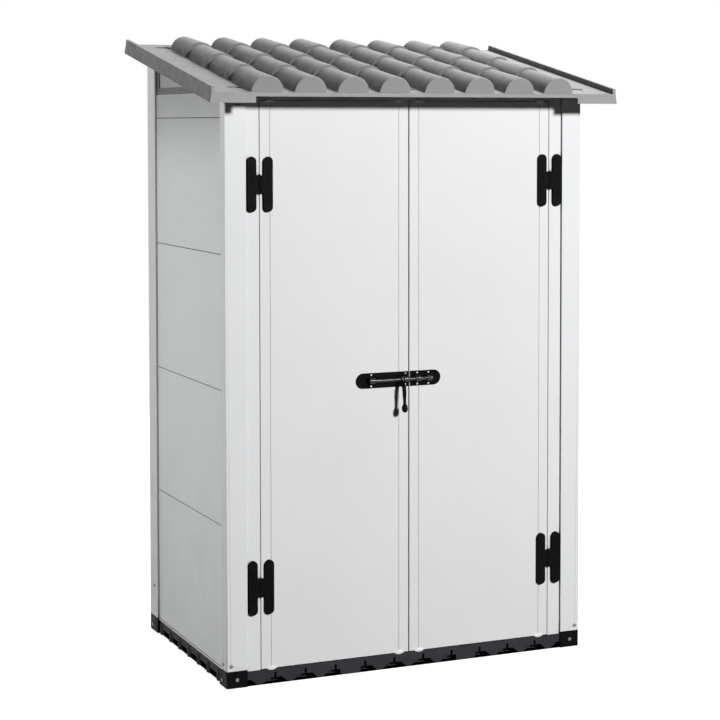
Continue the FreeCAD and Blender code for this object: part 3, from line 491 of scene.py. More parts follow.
@dataclass(frozen=True)
class MouldedPlastic:
    """Injection-moulded plastic with a fine spark-eroded grain, worn edges, dust and painted shade in
    hollows, and painted shade on some faces.
    """

    name: str
    colour: Colour
    roughness: float = 0.55
    gloss_level: float = 0.3
    grain_size: float = 0.0009
    grain_depth: float = 0.00005
    wave_size: float = 0.05
    wave_depth: float = 0.00025
    cloud_size: float = 0.11
    cloud_share: float = 0.06
    # Dust and painted shade in hollows: lighter dust on the gable frames, painted shade on the roof and
    # the deck.
    dust_and_shade_colour: Colour = (0.3, 0.29, 0.27)
    dust_and_shade_share: float = 0.0
    dust_and_shade_reach: float = 0.02
    dust_and_shade_patch: float = 0.05
    dust_and_shade_levels: Pair = (0.25, 0.7)
    dust_and_shade_least: float = 0.35
    wear_colour: Optional[Colour] = None
    wear_share: float = 0.5
    wear_reach: float = 0.0012
    wear_patch: float = 0.02
    wear_levels: Pair = (0.3, 0.62)
    scuff_share: float = 0.0
    scuff_size: float = 0.004
    scuff_levels: Pair = (0.66, 0.72)
    scuff_tone: float = 1.5
    scuff_lift: float = 0.01
    scuff_patch: float = 0.07
    scuff_patch_levels: Pair = (0.5, 0.65)
    # Painted shade on left-facing faces.
    left_shade_tone: float = 1.0
    left_shade_levels: Pair = (0.75, 0.95)
    # Painted shade on the forward faces where one tile laps the next.
    seam_shade_tone: float = 1.0
    seam_shade_levels: Pair = (-0.35, -0.6)
    seam_shade_band: Pair = (-0.36, -0.34)

    def make(self) -> bpy.types.Material:
        """Builds the material.

        Returns:
            The material.
        """
        sheet = NodeSheet(self.name)
        cloud = sheet.between(sheet.noise(self.cloud_size, detail=4.0), *USUAL)
        low = toned(self.colour, 1.0 - self.cloud_share)
        colour = sheet.mix(cloud, low, toned(self.colour, 1.0 + self.cloud_share))
        if self.scuff_share > 0.0:
            colour = self._scuffed(sheet, colour)
        if self.wear_colour is not None:
            patchy = sheet.between(sheet.noise(self.wear_patch), *self.wear_levels)
            worn = sheet.product(sheet.edges(self.wear_reach), patchy, self.wear_share)
            colour = sheet.mix(worn, colour, self.wear_colour)
        # Dust and painted shade in hollows.
        if self.dust_and_shade_share > 0.0:
            patches = sheet.noise(self.dust_and_shade_patch, detail=4.0)
            patchy = sheet.between(patches, *self.dust_and_shade_levels, self.dust_and_shade_least)
            dust = sheet.product(sheet.hollows(self.dust_and_shade_reach), patchy, self.dust_and_shade_share)
            colour = sheet.mix(dust, colour, self.dust_and_shade_colour)
        colour = self._painted_shade(sheet, colour)
        gloss = sheet.uneven(self.roughness, size=0.03, less=0.07, more=0.08)
        normal = sheet.bump(sheet.noise(self.wave_size, detail=2.0), self.wave_depth)
        normal = sheet.bump(sheet.noise(self.grain_size, rough=0.7), self.grain_depth, normal)
        return sheet.finish(colour, gloss, normal, self.gloss_level)

    def _scuffed(self, sheet: NodeSheet, colour: Socket) -> Socket:
        """Adds short pale rubbing marks.

        Args:
            sheet: the material's node sheet.
            colour: the colour without marks.

        Returns:
            The colour with marks.
        """
        marks = sheet.noise(self.scuff_size, detail=2.0, grain=Grain.LEVEL)
        patches = sheet.noise(self.scuff_patch, detail=2.0)
        share = sheet.product(
            sheet.between(marks, *self.scuff_levels),
            sheet.between(patches, *self.scuff_patch_levels),
            self.scuff_share,
        )
        return sheet.mix(share, colour, toned(self.colour, self.scuff_tone, self.scuff_lift))

    def _painted_shade(self, sheet: NodeSheet, colour: Socket) -> Socket:
        """Paints shade: darkens left-facing faces, and the forward faces where one tile laps the next.

        Args:
            sheet: the material's node sheet.
            colour: the colour before.

        Returns:
            The colour after.
        """
        # Painted shade on left-facing faces.
        if self.left_shade_tone < 1.0:
            leftwards = sheet.product(sheet.facing("X"), -1.0)
            share = sheet.between(leftwards, *self.left_shade_levels, 0.0, 1.0 - self.left_shade_tone)
            colour = sheet.darken(share, colour)
        # Painted shade on the forward faces of the tile laps.
        if self.seam_shade_tone < 1.0:
            forwards = sheet.between(sheet.facing("Y"), *self.seam_shade_levels)
            behind = sheet.between(sheet.axis("Y"), *self.seam_shade_band)
            colour = sheet.darken(sheet.product(forwards, behind, 1.0 - self.seam_shade_tone), colour)
        return colour


@dataclass(frozen=True)
class Metal:
    """Plated, drawn or powder-coated metal."""

    name: str
    colour: Colour
    metallic: float
    roughness: float
    gloss_level: float = 0.3
    orange_peel: float = 0.00003
    peel_size: float = 0.0018
    cloud_size: float = 0.02
    cloud_tone: float = 0.82
    rub_colour: Optional[Colour] = None
    rub_share: float = 0.6
    rub_reach: float = 0.0008
    rub_patch: float = 0.012
    rub_levels: Pair = (0.45, 0.65)
    rubbed_gloss: Optional[float] = None
    rubbed_front: Pair = (-0.3455, -0.3445)
    rubbed_rear: Pair = (-0.336, -0.338)

    def make(self) -> bpy.types.Material:
        """Builds the material.

        Returns:
            The material.
        """
        sheet = NodeSheet(self.name)
        cloud = sheet.between(sheet.noise(self.cloud_size, detail=4.0), *USUAL)
        colour = sheet.mix(cloud, toned(self.colour, self.cloud_tone), self.colour)
        if self.rub_colour is not None:
            patchy = sheet.between(sheet.noise(self.rub_patch), *self.rub_levels)
            rubbed = sheet.product(sheet.edges(self.rub_reach), patchy, self.rub_share)
            colour = sheet.mix(rubbed, colour, self.rub_colour)
        gloss = sheet.uneven(self.roughness, size=0.008, less=0.08, more=0.1)
        normal = sheet.bump(sheet.noise(self.peel_size, detail=2.0), self.orange_peel)
        sheet.shader.inputs["Metallic"].default_value = self.metallic
        level = self.gloss_level
        if self.rubbed_gloss is not None:
            level = self._rubbed(sheet, self.rubbed_gloss)
        return sheet.finish(colour, gloss, normal, level)

    def _rubbed(self, sheet: NodeSheet, rubbed_gloss: float) -> Socket:
        """Makes the band where the rod and its guides rub glossier than the rest.

        Args:
            sheet: the material's node sheet.
            rubbed_gloss: the gloss level in the band.

        Returns:
            The gloss level.
        """
        behind_front = sheet.between(sheet.axis("Y"), *self.rubbed_front)
        before_rear = sheet.between(sheet.axis("Y"), *self.rubbed_rear)
        extra = sheet.product(behind_front, before_rear, rubbed_gloss)
        return sheet.maths("MAXIMUM", extra, self.gloss_level)


WALL_COLOUR: Colour = (0.716, 0.745, 0.725)
DECK_COLOUR: Colour = (0.036, 0.0345, 0.041)
MOULDED_BLACK = srgb(9.0, -1.0)
DOOR_GROOVE = srgb(150.0, 16.0)
# Painted light: a warm tone on the doors' sideways faces, for the light seen in the narrow gaps.
DOOR_SIDE_GAP_LIGHT = srgb(194.0, 9.0)
# Painted shade on the sideways faces of posts and jambs.
FRAME_SIDE_SHADE = srgb(214.0, -1.0)

FINISH_LIST = (
    ExtrudedPlastic(
        "door_plastic", srgb(233.0), Grain.UPRIGHT, groove_colour=DOOR_GROOVE, painted_side_colour=DOOR_SIDE_GAP_LIGHT
    ),
    ExtrudedPlastic(
        "wall_plastic",
        WALL_COLOUR,
        Grain.LEVEL,
        roughness=0.45,
        line_size=0.0022,
        line_depth=0.00006,
        line_share=0.05,
        groove_colour=srgb(120.0),
        eaves_shade=0.5,
    ),
    ExtrudedPlastic(
        "frame_plastic",
        srgb(234.0, -1.0),
        Grain.UPRIGHT,
        roughness=0.42,
        painted_side_colour=FRAME_SIDE_SHADE,
        corner_shade_share=0.97,
    ),
    # Painted shade: the wall's plastic, darkened as it looks under the roof's overhang.
    ExtrudedPlastic("gable_panel_plastic", srgb(157.0), Grain.LEVEL),
    # Painted shade: the roof's grey, darkened as it looks under the roof's overhang.
    MouldedPlastic("gable_frame_plastic", srgb(92.0), dust_and_shade_share=0.3),
    MouldedPlastic(
        "roof_plastic",
        srgb(142.0),
        roughness=0.5,
        gloss_level=0.4,
        grain_size=0.0016,
        cloud_share=0.02,
        dust_and_shade_share=0.35,
        dust_and_shade_colour=srgb(95.0),
        wear_colour=srgb(185.0),
        wear_share=0.2,
        # Painted shade on left-facing faces and on the forward faces at the tile laps.
        left_shade_tone=0.34,
        seam_shade_tone=0.55,
    ),
    MouldedPlastic(
        "floor_plastic",
        DECK_COLOUR,
        roughness=0.62,
        gloss_level=0.08,
        grain_size=0.0022,
        grain_depth=0.00012,
        cloud_share=0.12,
        dust_and_shade_share=0.35,
        dust_and_shade_colour=srgb(18.0),
        wear_colour=srgb(85.0, -2.0),
        scuff_share=0.3,
    ),
    MouldedPlastic(
        "bracket_plastic",
        MOULDED_BLACK,
        roughness=0.5,
        gloss_level=0.04,
        wear_colour=srgb(40.0),
        scuff_share=0.12,
    ),
    MouldedPlastic(
        "hinge_plastic",
        MOULDED_BLACK,
        roughness=0.5,
        gloss_level=0.04,
        wear_colour=srgb(34.0),
        scuff_share=0.1,
    ),
    MouldedPlastic("clip_plastic", srgb(238.0, 1.0), roughness=0.4, cloud_share=0.02),
    Metal("pin_steel", srgb(50.0), metallic=1.0, roughness=0.4),
    Metal("screw_steel", srgb(12.0), metallic=0.0, roughness=0.45, gloss_level=0.06),
    Metal("assembly_screw_steel", srgb(125.0, -4.0), metallic=1.0, roughness=0.34),
    Metal(
        "bolt_black_metal",
        srgb(7.0),
        metallic=0.0,
        roughness=0.2,
        gloss_level=0.05,
        orange_peel=0.000012,
        rub_colour=srgb(34.0),
        rubbed_gloss=0.4,
    ),
    Metal("rivet_steel", srgb(165.0, -5.0), metallic=1.0, roughness=0.25),
)

FINISHES = {finish.name: finish for finish in FINISH_LIST}


@dataclass
class PaintShop:
    """Makes each finish once and gives it to the pieces that carry its slot."""

    made: dict[str, bpy.types.Material] = field(default_factory=dict)

    def finish(self, slot: str) -> bpy.types.Material:
        """Gets the material of a slot.

        Args:
            slot: the record's name of the finish.

        Returns:
            The material, made on first use.
        """
        if slot not in self.made:
            self.made[slot] = FINISHES[slot].make()
        return self.made[slot]

    def paint(self, piece: bpy.types.Object, slot: str) -> None:
        """Gives a piece its finish in place of whatever it had."""
        piece.data.materials.clear()
        piece.data.materials.append(self.finish(slot))


SHOP = PaintShop()


# Mesh helpers

def add_to_scene(name: str, data: bpy.types.ID) -> bpy.types.Object:
    """Makes an object that shows some data and puts it in the scene.

    Args:
        name: the object's name.
        data: a mesh, a lamp's data or a camera's data.

    Returns:
        The new object.
    """
    thing = bpy.data.objects.new(name, data)
    bpy.context.scene.collection.objects.link(thing)
    return thing


def add_mesh(name: str, mesh: bmesh.types.BMesh) -> bpy.types.Object:
    """Puts a finished mesh in the scene.

    Args:
        name: the object's name.
        mesh: the mesh in the row frame, which is freed.

    Returns:
        The new object.
    """
    data = bpy.data.meshes.new(name)
    mesh.to_mesh(data)
    mesh.free()
    return add_to_scene(name, data)


def piece_from(name: str, mesh: bmesh.types.BMesh, body: str, slot: str) -> bpy.types.Object:
    """Turns a finished mesh into a piece that rides on a body.

    Args:
        name: the piece's name.
        mesh: the mesh in the row frame, which is freed.
        body: the CAD body it rides on.
        slot: the record's name of its finish.

    Returns:
        The new piece.
    """
    bmesh.ops.recalc_face_normals(mesh, faces=mesh.faces)
    piece = add_mesh(name, mesh)
    SHOP.paint(piece, slot)
    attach(piece, body)
    return piece


def soften(piece: bpy.types.Object, width: float, segments: int = 2) -> None:
    """Rounds a piece's sharp edges a little, as moulds and dies leave them.

    Args:
        piece: the mesh that is softened.
        width: the rounding's width, in metres.
        segments: how many steps the rounding has.
    """
    weld = piece.modifiers.new("close_seams", "WELD")
    weld.merge_threshold = SEAM_GAP
    bevel = piece.modifiers.new("soft_edges", "BEVEL")
    bevel.width = width
    bevel.segments = segments
    bevel.limit_method = "ANGLE"
    bevel.angle_limit = SHARP_TURN
    bevel.use_clamp_overlap = True
    bevel.harden_normals = True


def smooth(piece: bpy.types.Object) -> None:
    """Shades a piece smoothly."""
    for polygon in piece.data.polygons:
        polygon.use_smooth = True


def around(turns: int) -> list[float]:
    """The angles of even steps round a full turn."""
    return [2.0 * math.pi * step / turns for step in range(turns)]


def join_rings(mesh: bmesh.types.BMesh, rings: Sequence[Ring], turns: int) -> None:
    """Joins each ring of corners to the next with faces.

    Args:
        mesh: what the faces are added to.
        rings: the rings in order; a ring of one corner closes an end.
        turns: how many steps go round.
    """
    for low, high in zip(rings[:-1], rings[1:]):
        for here in range(turns):
            after = here + 1
            corners = [low[here % len(low)], low[after % len(low)]]
            corners += [high[after % len(high)], high[here % len(high)]]
            unique = list(dict.fromkeys(corners))
            if len(unique) > 2:
                mesh.faces.new(unique)


def close_prism(mesh: bmesh.types.BMesh, rings: Sequence[Ring]) -> None:
    """Joins rings of as many corners each, and covers the first and the last.

    Args:
        mesh: what the faces are added to.
        rings: the rings in order.
    """
    join_rings(mesh, rings, len(rings[0]))
    mesh.faces.new(rings[0])
    mesh.faces.new(list(reversed(rings[-1])))


def lathe(
    mesh: bmesh.types.BMesh, profile: Sequence[Pair], place: Matrix, turns: int
) -> None:
    """Turns a profile about the local Z axis and adds it to a mesh.

    Args:
        mesh: what the form is added to.
        profile: (radius, height) points from one end to the other.
        place: where the turned form stands.
        turns: how many steps go round.
    """
    rings = []
    for radius, height in profile:
        spots = [Vector((radius * math.cos(a), radius * math.sin(a), height)) for a in around(turns)]
        if radius < TIP_RADIUS:
            spots = [Vector((0.0, 0.0, height))]
        rings.append([mesh.verts.new(place @ spot) for spot in spots])
    join_rings(mesh, rings, turns)


def rounded_corner(start: Station, end: Station, first_way: Vector, last_way: Vector) -> list[Station]:
    """Finds the stations of a bend between two straight runs.

    Args:
        start: the last station before the bend.
        end: the first station after the bend.
        first_way: the direction of the run before.
        last_way: the direction of the run after.

    Returns:
        The stations in the bend, without its two ends.
    """
    start_place, start_radius = start
    end_place, end_radius = end
    half_swing = first_way.angle(last_way) / 2.0
    reach = (end_place - start_place).length / 2.0 / math.cos(half_swing)
    corner = start_place + first_way * reach
    bend = []
    for share in (0.2, 0.4, 0.6, 0.8):
        near = start_place.lerp(corner, share)
        far = corner.lerp(end_place, share)
        bend.append((near.lerp(far, share), start_radius + (end_radius - start_radius) * share))
    return bend


def sweep(
    mesh: bmesh.types.BMesh, upper: Sequence[Station], lower: Sequence[Station], turns: int
) -> None:
    """Sweeps a round section of changing radius down a bent line and adds it to a mesh.

    Args:
        mesh: what the form is added to.
        upper: the stations before the bend; the line runs in the (y, z) plane.
        lower: the stations after the bend.
        turns: how many steps go round.
    """
    first_way = (upper[-1][0] - upper[0][0]).normalized()
    last_way = (lower[-1][0] - lower[0][0]).normalized()
    bend = rounded_corner(upper[-1], lower[0], first_way, last_way)
    line = [*upper, *bend, *lower]
    sideways = Vector((1.0, 0.0, 0.0))
    rings = []
    for k, (place, radius) in enumerate(line):
        way = first_way if k < len(upper) else last_way
        if len(upper) <= k < len(upper) + len(bend):
            way = (line[k + 1][0] - line[k - 1][0]).normalized()
        across = way.cross(sideways)
        spokes = [sideways * math.cos(a) + across * math.sin(a) for a in around(turns)]
        spots = [place + spoke * radius for spoke in spokes]
        if radius < TIP_RADIUS:
            spots = [place]
        rings.append([mesh.verts.new(spot) for spot in spots])
    join_rings(mesh, rings, turns)


@dataclass
class CarriedNodes:
    """CAD nodes whose shape stays and that only get a finish and soft edges."""

    names: Sequence[str]
    slot: str
    edge: float = 0.0

    def dress(self) -> None:
        """Paints the nodes and softens their edges."""
        for name in self.names:
            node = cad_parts[name]
            SHOP.paint(node, self.slot)
            if self.edge > 0.0:
                soften(node, self.edge)
            log.info("%s: %s", name, self.slot)


# Sub-assemblies

@dataclass
class FloorDeck:
    """Six deck modules and the four corner brackets that stand round them."""

    columns: tuple[str, ...] = ("left", "middle", "right")
    module_edge: float = 0.0008
    bracket_edge: float = 0.0012

    def build(self) -> None:
        """Dresses the modules and the brackets."""
        modules = [f"floor_module_{row}_{column}" for row in ENDS for column in self.columns]
        CarriedNodes(modules, "floor_plastic", self.module_edge).dress()
        brackets = [f"foot_bracket_{end}_{side.word}" for end in ENDS for side in Side]
        CarriedNodes(brackets, "bracket_plastic", self.bracket_edge).dress()


@dataclass
class Shell:
    """Posts, rails, jambs, wall boards and gables."""

    boards_per_wall: int = 5
    post_edge: float = 0.0008
    jamb_edge: float = 0.0012
    rail_edge: float = 0.0003
    gable_edge: float = 0.0008

    def build(self) -> None:
        """Dresses every fixed piece between the floor and the roof."""
        posts = [f"corner_post_{end}_{side.word}" for end in ENDS for side in Side]
        CarriedNodes(posts, "frame_plastic", self.post_edge).dress()
        jambs = [f"door_jamb_{side.word}" for side in Side]
        CarriedNodes(jambs, "frame_plastic", self.jamb_edge).dress()
        rails = ["head_rail", "rear_top_rail", "wall_base_rails"]
        CarriedNodes(rails, "frame_plastic", self.rail_edge).dress()
        numbers = range(1, self.boards_per_wall + 1)
        boards = [f"{side.word}_wall_board_{number}" for side in Side for number in numbers]
        CarriedNodes([*boards, "rear_wall_boards"], "wall_plastic").dress()
        gables = [f"gable_frame_{side.word}" for side in Side]
        CarriedNodes(gables, "gable_frame_plastic", self.gable_edge).dress()
        CarriedNodes(["gable_panels"], "gable_panel_plastic").dress()
        CarriedNodes(["assembly_screws"], "assembly_screw_steel").dress()


@dataclass
class TiledRoof:
    """The one-piece roof with its rims, skirts and barrel tiles."""

    edge: float = 0.0012

    def build(self) -> None:
        """Dresses the roof moulding."""
        CarriedNodes(["roof"], "roof_plastic", self.edge).dress()


@dataclass
class StrapHinges:
    """The fixed halves of the four hinges."""

    edge: float = HINGE_EDGE

    def build(self) -> None:
        """Dresses frame leaves, pins and screws."""
        CarriedNodes(["hinge_frame_leaves"], "hinge_plastic", self.edge).dress()
        CarriedNodes(["hinge_pins"], "pin_steel").dress()
        CarriedNodes(["hinge_frame_screws"], "screw_steel").dress()


@dataclass
class DoorLeaf:
    """One door: hollow panel and stiles, end rails, clips and its hinge leaves."""

    side: Side
    outer_edge: float = 0.47585
    inner_edge: float = 0.0015
    hinge_stile: float = 0.032
    lock_stile: float = 0.0315
    face_y: float = -0.322
    bottom: float = 0.046
    top: float = 1.707
    leaf_edge: float = HINGE_EDGE
    clip_width: float = 0.033
    clip_height: float = 0.012
    clip_proud: float = 0.0035
    clip_steps: int = 10
    clip_dome: tuple[Pair, ...] = ((1.0, 0.0), (1.0, 0.6), (0.86, 0.88), (0.5, 1.0))

    def build(self) -> None:
        """Dresses the door's members and builds its clips."""
        word = self.side.word
        parts = ("panel", "hinge_stile", "lock_stile", "end_rails")
        members = [f"{word}_door_{part}" for part in parts]
        CarriedNodes(members, "door_plastic").dress()
        CarriedNodes([f"{word}_door_hinge_leaves"], "hinge_plastic", self.leaf_edge).dress()
        CarriedNodes([f"{word}_door_hinge_screws"], "screw_steel").dress()
        self._clips()

    def _clips(self) -> None:
        """Builds the domed lens clips over the joints between stile and panel."""
        mesh = bmesh.new()
        sign = float(self.side.value)
        for joint in (self.outer_edge - self.hinge_stile, self.inner_edge + self.lock_stile):
            for end in (self.bottom, self.top):
                self._lens(mesh, Vector((sign * joint, self.face_y, end)))
        body = f"{self.side.word}_door"
        piece = piece_from(f"{body}_lens_clips", mesh, body, "clip_plastic")
        smooth(piece)
        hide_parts(f"{self.side.word}_door_clips")
        log.info("%s: domed clips on %s", piece.name, body)

    def _lens(self, mesh: bmesh.types.BMesh, centre: Vector) -> None:
        """Adds one clip: a lens outline whose front is domed.

        Args:
            mesh: what the clip is added to.
            centre: the middle of the clip's back.
        """
        half = self.clip_width / 2.0
        rise = self.clip_height / 2.0
        outline = []
        for k in range(self.clip_steps * 2):
            share = k / self.clip_steps - 1.0
            outline.append((half * share, -rise * (1.0 - share * share)))
        outline += [(-x, -z) for x, z in outline]
        layers = []
        for scale, proud in self.clip_dome:
            y = centre.y - self.clip_proud * proud
            corners = [(centre.x + x * scale, y, centre.z + z * scale) for x, z in outline]
            layers.append([mesh.verts.new(corner) for corner in corners])
        close_prism(mesh, layers)


@dataclass
class SlidingBolt:
    """The bolt on the left door and its keeper on the right door."""

    axis_y: float = -0.336
    axis_z: float = 0.876
    plate_front: float = -0.325
    plate_edge: float = 0.0008
    guide_inner: float = 0.00505
    guide_outer: float = 0.008
    guide_width: float = 0.017
    guide_edge: float = 0.0007
    guide_steps: int = 14
    foot_reach: float = 0.021
    foot_thickness: float = 0.0025
    bolt_guides: tuple[float, ...] = (-0.126, -0.014)
    keeper_guides: tuple[float, ...] = (0.025, 0.062)
    rivet_spread: float = 0.0165
    rivet_head: float = 0.0035
    rivet_shank: float = 0.0045
    rivet_rim: float = 0.12
    rivet_dome: float = 0.7
    rivet_angles: tuple[float, ...] = (0.3, 0.6, 0.9, 1.2, 1.4)
    rivet_turns: int = 20
    handle_x: float = -0.029
    handle_turns: int = 32
    collar_width: float = 0.009
    collar_radius: float = 0.00855
    collar_rounding: float = 0.0008
    collar_turns: int = 40
    stem_start: float = 0.0012
    stem_radius: float = 0.0062
    stem_start_share: float = 0.8
    stem_knee_share: float = 0.99
    stem_taper: tuple[Pair, ...] = (
        (0.3, 0.0059), (0.5, 0.0053), (0.62, 0.0047), (0.73, 0.0045), (0.8, 0.0055)
    )
    knee_reach: float = 0.017
    knee_drop: float = 0.023
    knee_bend: float = 0.009
    knob_reach: float = 0.021
    knob_drop: float = 0.0845
    knob_radius: float = 0.0093
    knob_stretch: float = 1.35
    knob_fullness: float = 0.8
    knob_angles: tuple[float, ...] = (-0.9, -0.6, -0.3, 0.0, 0.35, 0.7, 1.05, 1.35)

    def build(self) -> None:
        """Dresses plates and rod, and builds guides, rivets and handle."""
        CarriedNodes(["bolt_plate", "keeper_plate"], "bolt_black_metal", self.plate_edge).dress()
        CarriedNodes(["bolt_rod"], "bolt_black_metal").dress()
        self._straps("bolt_straps", self.bolt_guides, "left_door", "bolt_guides")
        self._straps("keeper_straps", self.keeper_guides, "right_door", "keeper_guides")
        self._rivets("bolt_rivet_heads", self.bolt_guides, "left_door", "bolt_rivets")
        self._rivets("keeper_rivet_heads", self.keeper_guides, "right_door", "keeper_rivets")
        self._handle()

    def _strap_line(self) -> list[Pair]:
        """Draws the outline of one pressed strap.

        Returns:
            A closed run of (y, z) points.
        """
        foot_y = self.plate_front - self.foot_thickness
        arcs = []
        for radius in (self.guide_outer, self.guide_inner):
            arc = []
            for k in range(self.guide_steps + 1):
                angle = math.pi / 2.0 + math.pi * k / self.guide_steps
                y = self.axis_y + radius * math.cos(angle)
                z = self.axis_z + radius * math.sin(angle)
                arc.append((y, z))
            arcs.append(arc)
        outer, inner = arcs
        top_foot = [
            (self.plate_front, self.axis_z + self.guide_inner),
            (self.plate_front, self.axis_z + self.foot_reach),
            (foot_y, self.axis_z + self.foot_reach),
            (foot_y, self.axis_z + self.guide_outer),
        ]
        low_foot = [(y, 2.0 * self.axis_z - z) for y, z in reversed(top_foot)]
        return top_foot + outer + low_foot + list(reversed(inner))

    def _straps(self, name: str, places: Iterable[float], body: str, node: str) -> None:
        """Builds the straps that guide the rod.

        Args:
            name: the piece's name.
            places: x of each strap's middle.
            body: the body that they ride on.
            node: the CAD node that they stand for.
        """
        mesh = bmesh.new()
        half = self.guide_width / 2.0
        for middle in places:
            ends = []
            for x in (middle - half, middle + half):
                ends.append([mesh.verts.new((x, y, z)) for y, z in self._strap_line()])
            close_prism(mesh, ends)
        piece = piece_from(name, mesh, body, "bolt_black_metal")
        soften(piece, self.guide_edge)
        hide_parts(node)
        log.info("%s: pressed straps on %s", name, body)

    def _rivets(self, name: str, places: Iterable[float], body: str, node: str) -> None:
        """Builds the domed rivet heads above and below each strap.

        Args:
            name: the piece's name.
            places: x of each strap's middle.
            body: the body that they ride on.
            node: the CAD node that they stand for.
        """
        mesh = bmesh.new()
        head = self.rivet_head
        rim = self.rivet_rim * head
        dome = self.rivet_dome * head
        profile = [(0.0, -self.rivet_shank), (head / 2.0, -self.rivet_shank), (head / 2.0, 0.0)]
        profile += [(head, 0.0), (head, rim)]
        profile += [(head * math.cos(a), rim + dome * math.sin(a)) for a in self.rivet_angles]
        profile.append((0.0, rim + dome))
        foot_y = self.plate_front - self.foot_thickness
        for middle in places:
            for shift in (-self.rivet_spread, self.rivet_spread):
                place = Matrix.Translation((middle, foot_y, self.axis_z + shift))
                place = place @ Matrix.Rotation(math.radians(90.0), 4, "X")
                lathe(mesh, profile, place, self.rivet_turns)
        piece = piece_from(name, mesh, body, "rivet_steel")
        smooth(piece)
        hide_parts(node)
        log.info("%s: domed rivets on %s", name, body)

    def _handle(self) -> None:
        """Builds the pull: a collar round the rod and a bent, tapered stem with a round knob."""
        mesh = bmesh.new()
        half = self.collar_width / 2.0
        bore = self.guide_inner
        rim = self.collar_radius
        rounding = self.collar_rounding
        collar = [(bore, -half), (rim - rounding, -half), (rim, rounding - half)]
        collar += [(rim, half - rounding), (rim - rounding, half), (bore, half), (bore, -half)]
        centre = Vector((self.handle_x, self.axis_y, self.axis_z))
        place = Matrix.Translation(centre) @ Matrix.Rotation(math.radians(90.0), 4, "Y")
        lathe(mesh, collar, place, self.collar_turns)
        knee = centre + Vector((0.0, -self.knee_reach, -self.knee_drop))
        knob = centre + Vector((0.0, -self.knob_reach, -self.knob_drop))
        sweep(mesh, self._upper_stem(centre, knee), self._lower_stem(knee, knob), self.handle_turns)
        piece = piece_from("bolt_pull", mesh, "bolt_handle", "bolt_black_metal")
        smooth(piece)
        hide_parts("bolt_handle")
        log.info("%s: collar, stem and knob", piece.name)

    def _upper_stem(self, centre: Vector, knee: Vector) -> list[Station]:
        """The upper stem, from the collar's wall to where the bend at the knee starts.

        Args:
            centre: the collar's middle on the rod's axis.
            knee: the corner of the bend.

        Returns:
            (place, radius) stations along it.
        """
        along = (knee - centre).normalized()
        start = centre + along * (self.guide_inner + self.stem_start)
        start_radius = self.stem_start_share * self.stem_radius
        bend = knee - along * self.knee_bend
        return [(start, 0.0), (start, start_radius), (bend, self.stem_radius)]

    def _lower_stem(self, knee: Vector, knob: Vector) -> list[Station]:
        """The lower stem, from the end of the bend to the tip of the knob.

        Args:
            knee: the corner of the bend.
            knob: the knob's middle.

        Returns:
            (place, radius) stations along it.
        """
        run = (knob - knee).length
        along = (knob - knee).normalized()
        half = self.knob_stretch * self.knob_radius
        stations = [(knee + along * self.knee_bend, self.stem_knee_share * self.stem_radius)]
        for share, radius in self.stem_taper:
            stations.append((knee + along * share * run, radius))
        for angle in self.knob_angles:
            radius = self.knob_radius * math.cos(angle) ** self.knob_fullness
            stations.append((knee + along * (run + half * math.sin(angle)), radius))
        stations.append((knee + along * (run + half), 0.0))
        return stations


# Stage, lamps and camera

@dataclass(frozen=True)
class SoftLamp:
    """An oval lamp that faces one point and that the camera doesn't see."""

    name: str
    place: Place
    aim: Place
    size: Pair
    power: float
    in_gloss: bool = False

    def hang(self) -> None:
        """Adds the lamp to the scene."""
        data = bpy.data.lights.new(self.name, "AREA")
        data.shape = "ELLIPSE"
        data.size, data.size_y = self.size
        data.energy = self.power
        lamp = add_to_scene(self.name, data)
        lamp.location = self.place
        way = Vector(self.aim) - Vector(self.place)
        lamp.rotation_euler = way.to_track_quat("-Z", "Y").to_euler()
        lamp.visible_camera = False
        lamp.visible_glossy = self.in_gloss
        log.info("%s: %.0f watts", self.name, self.power)


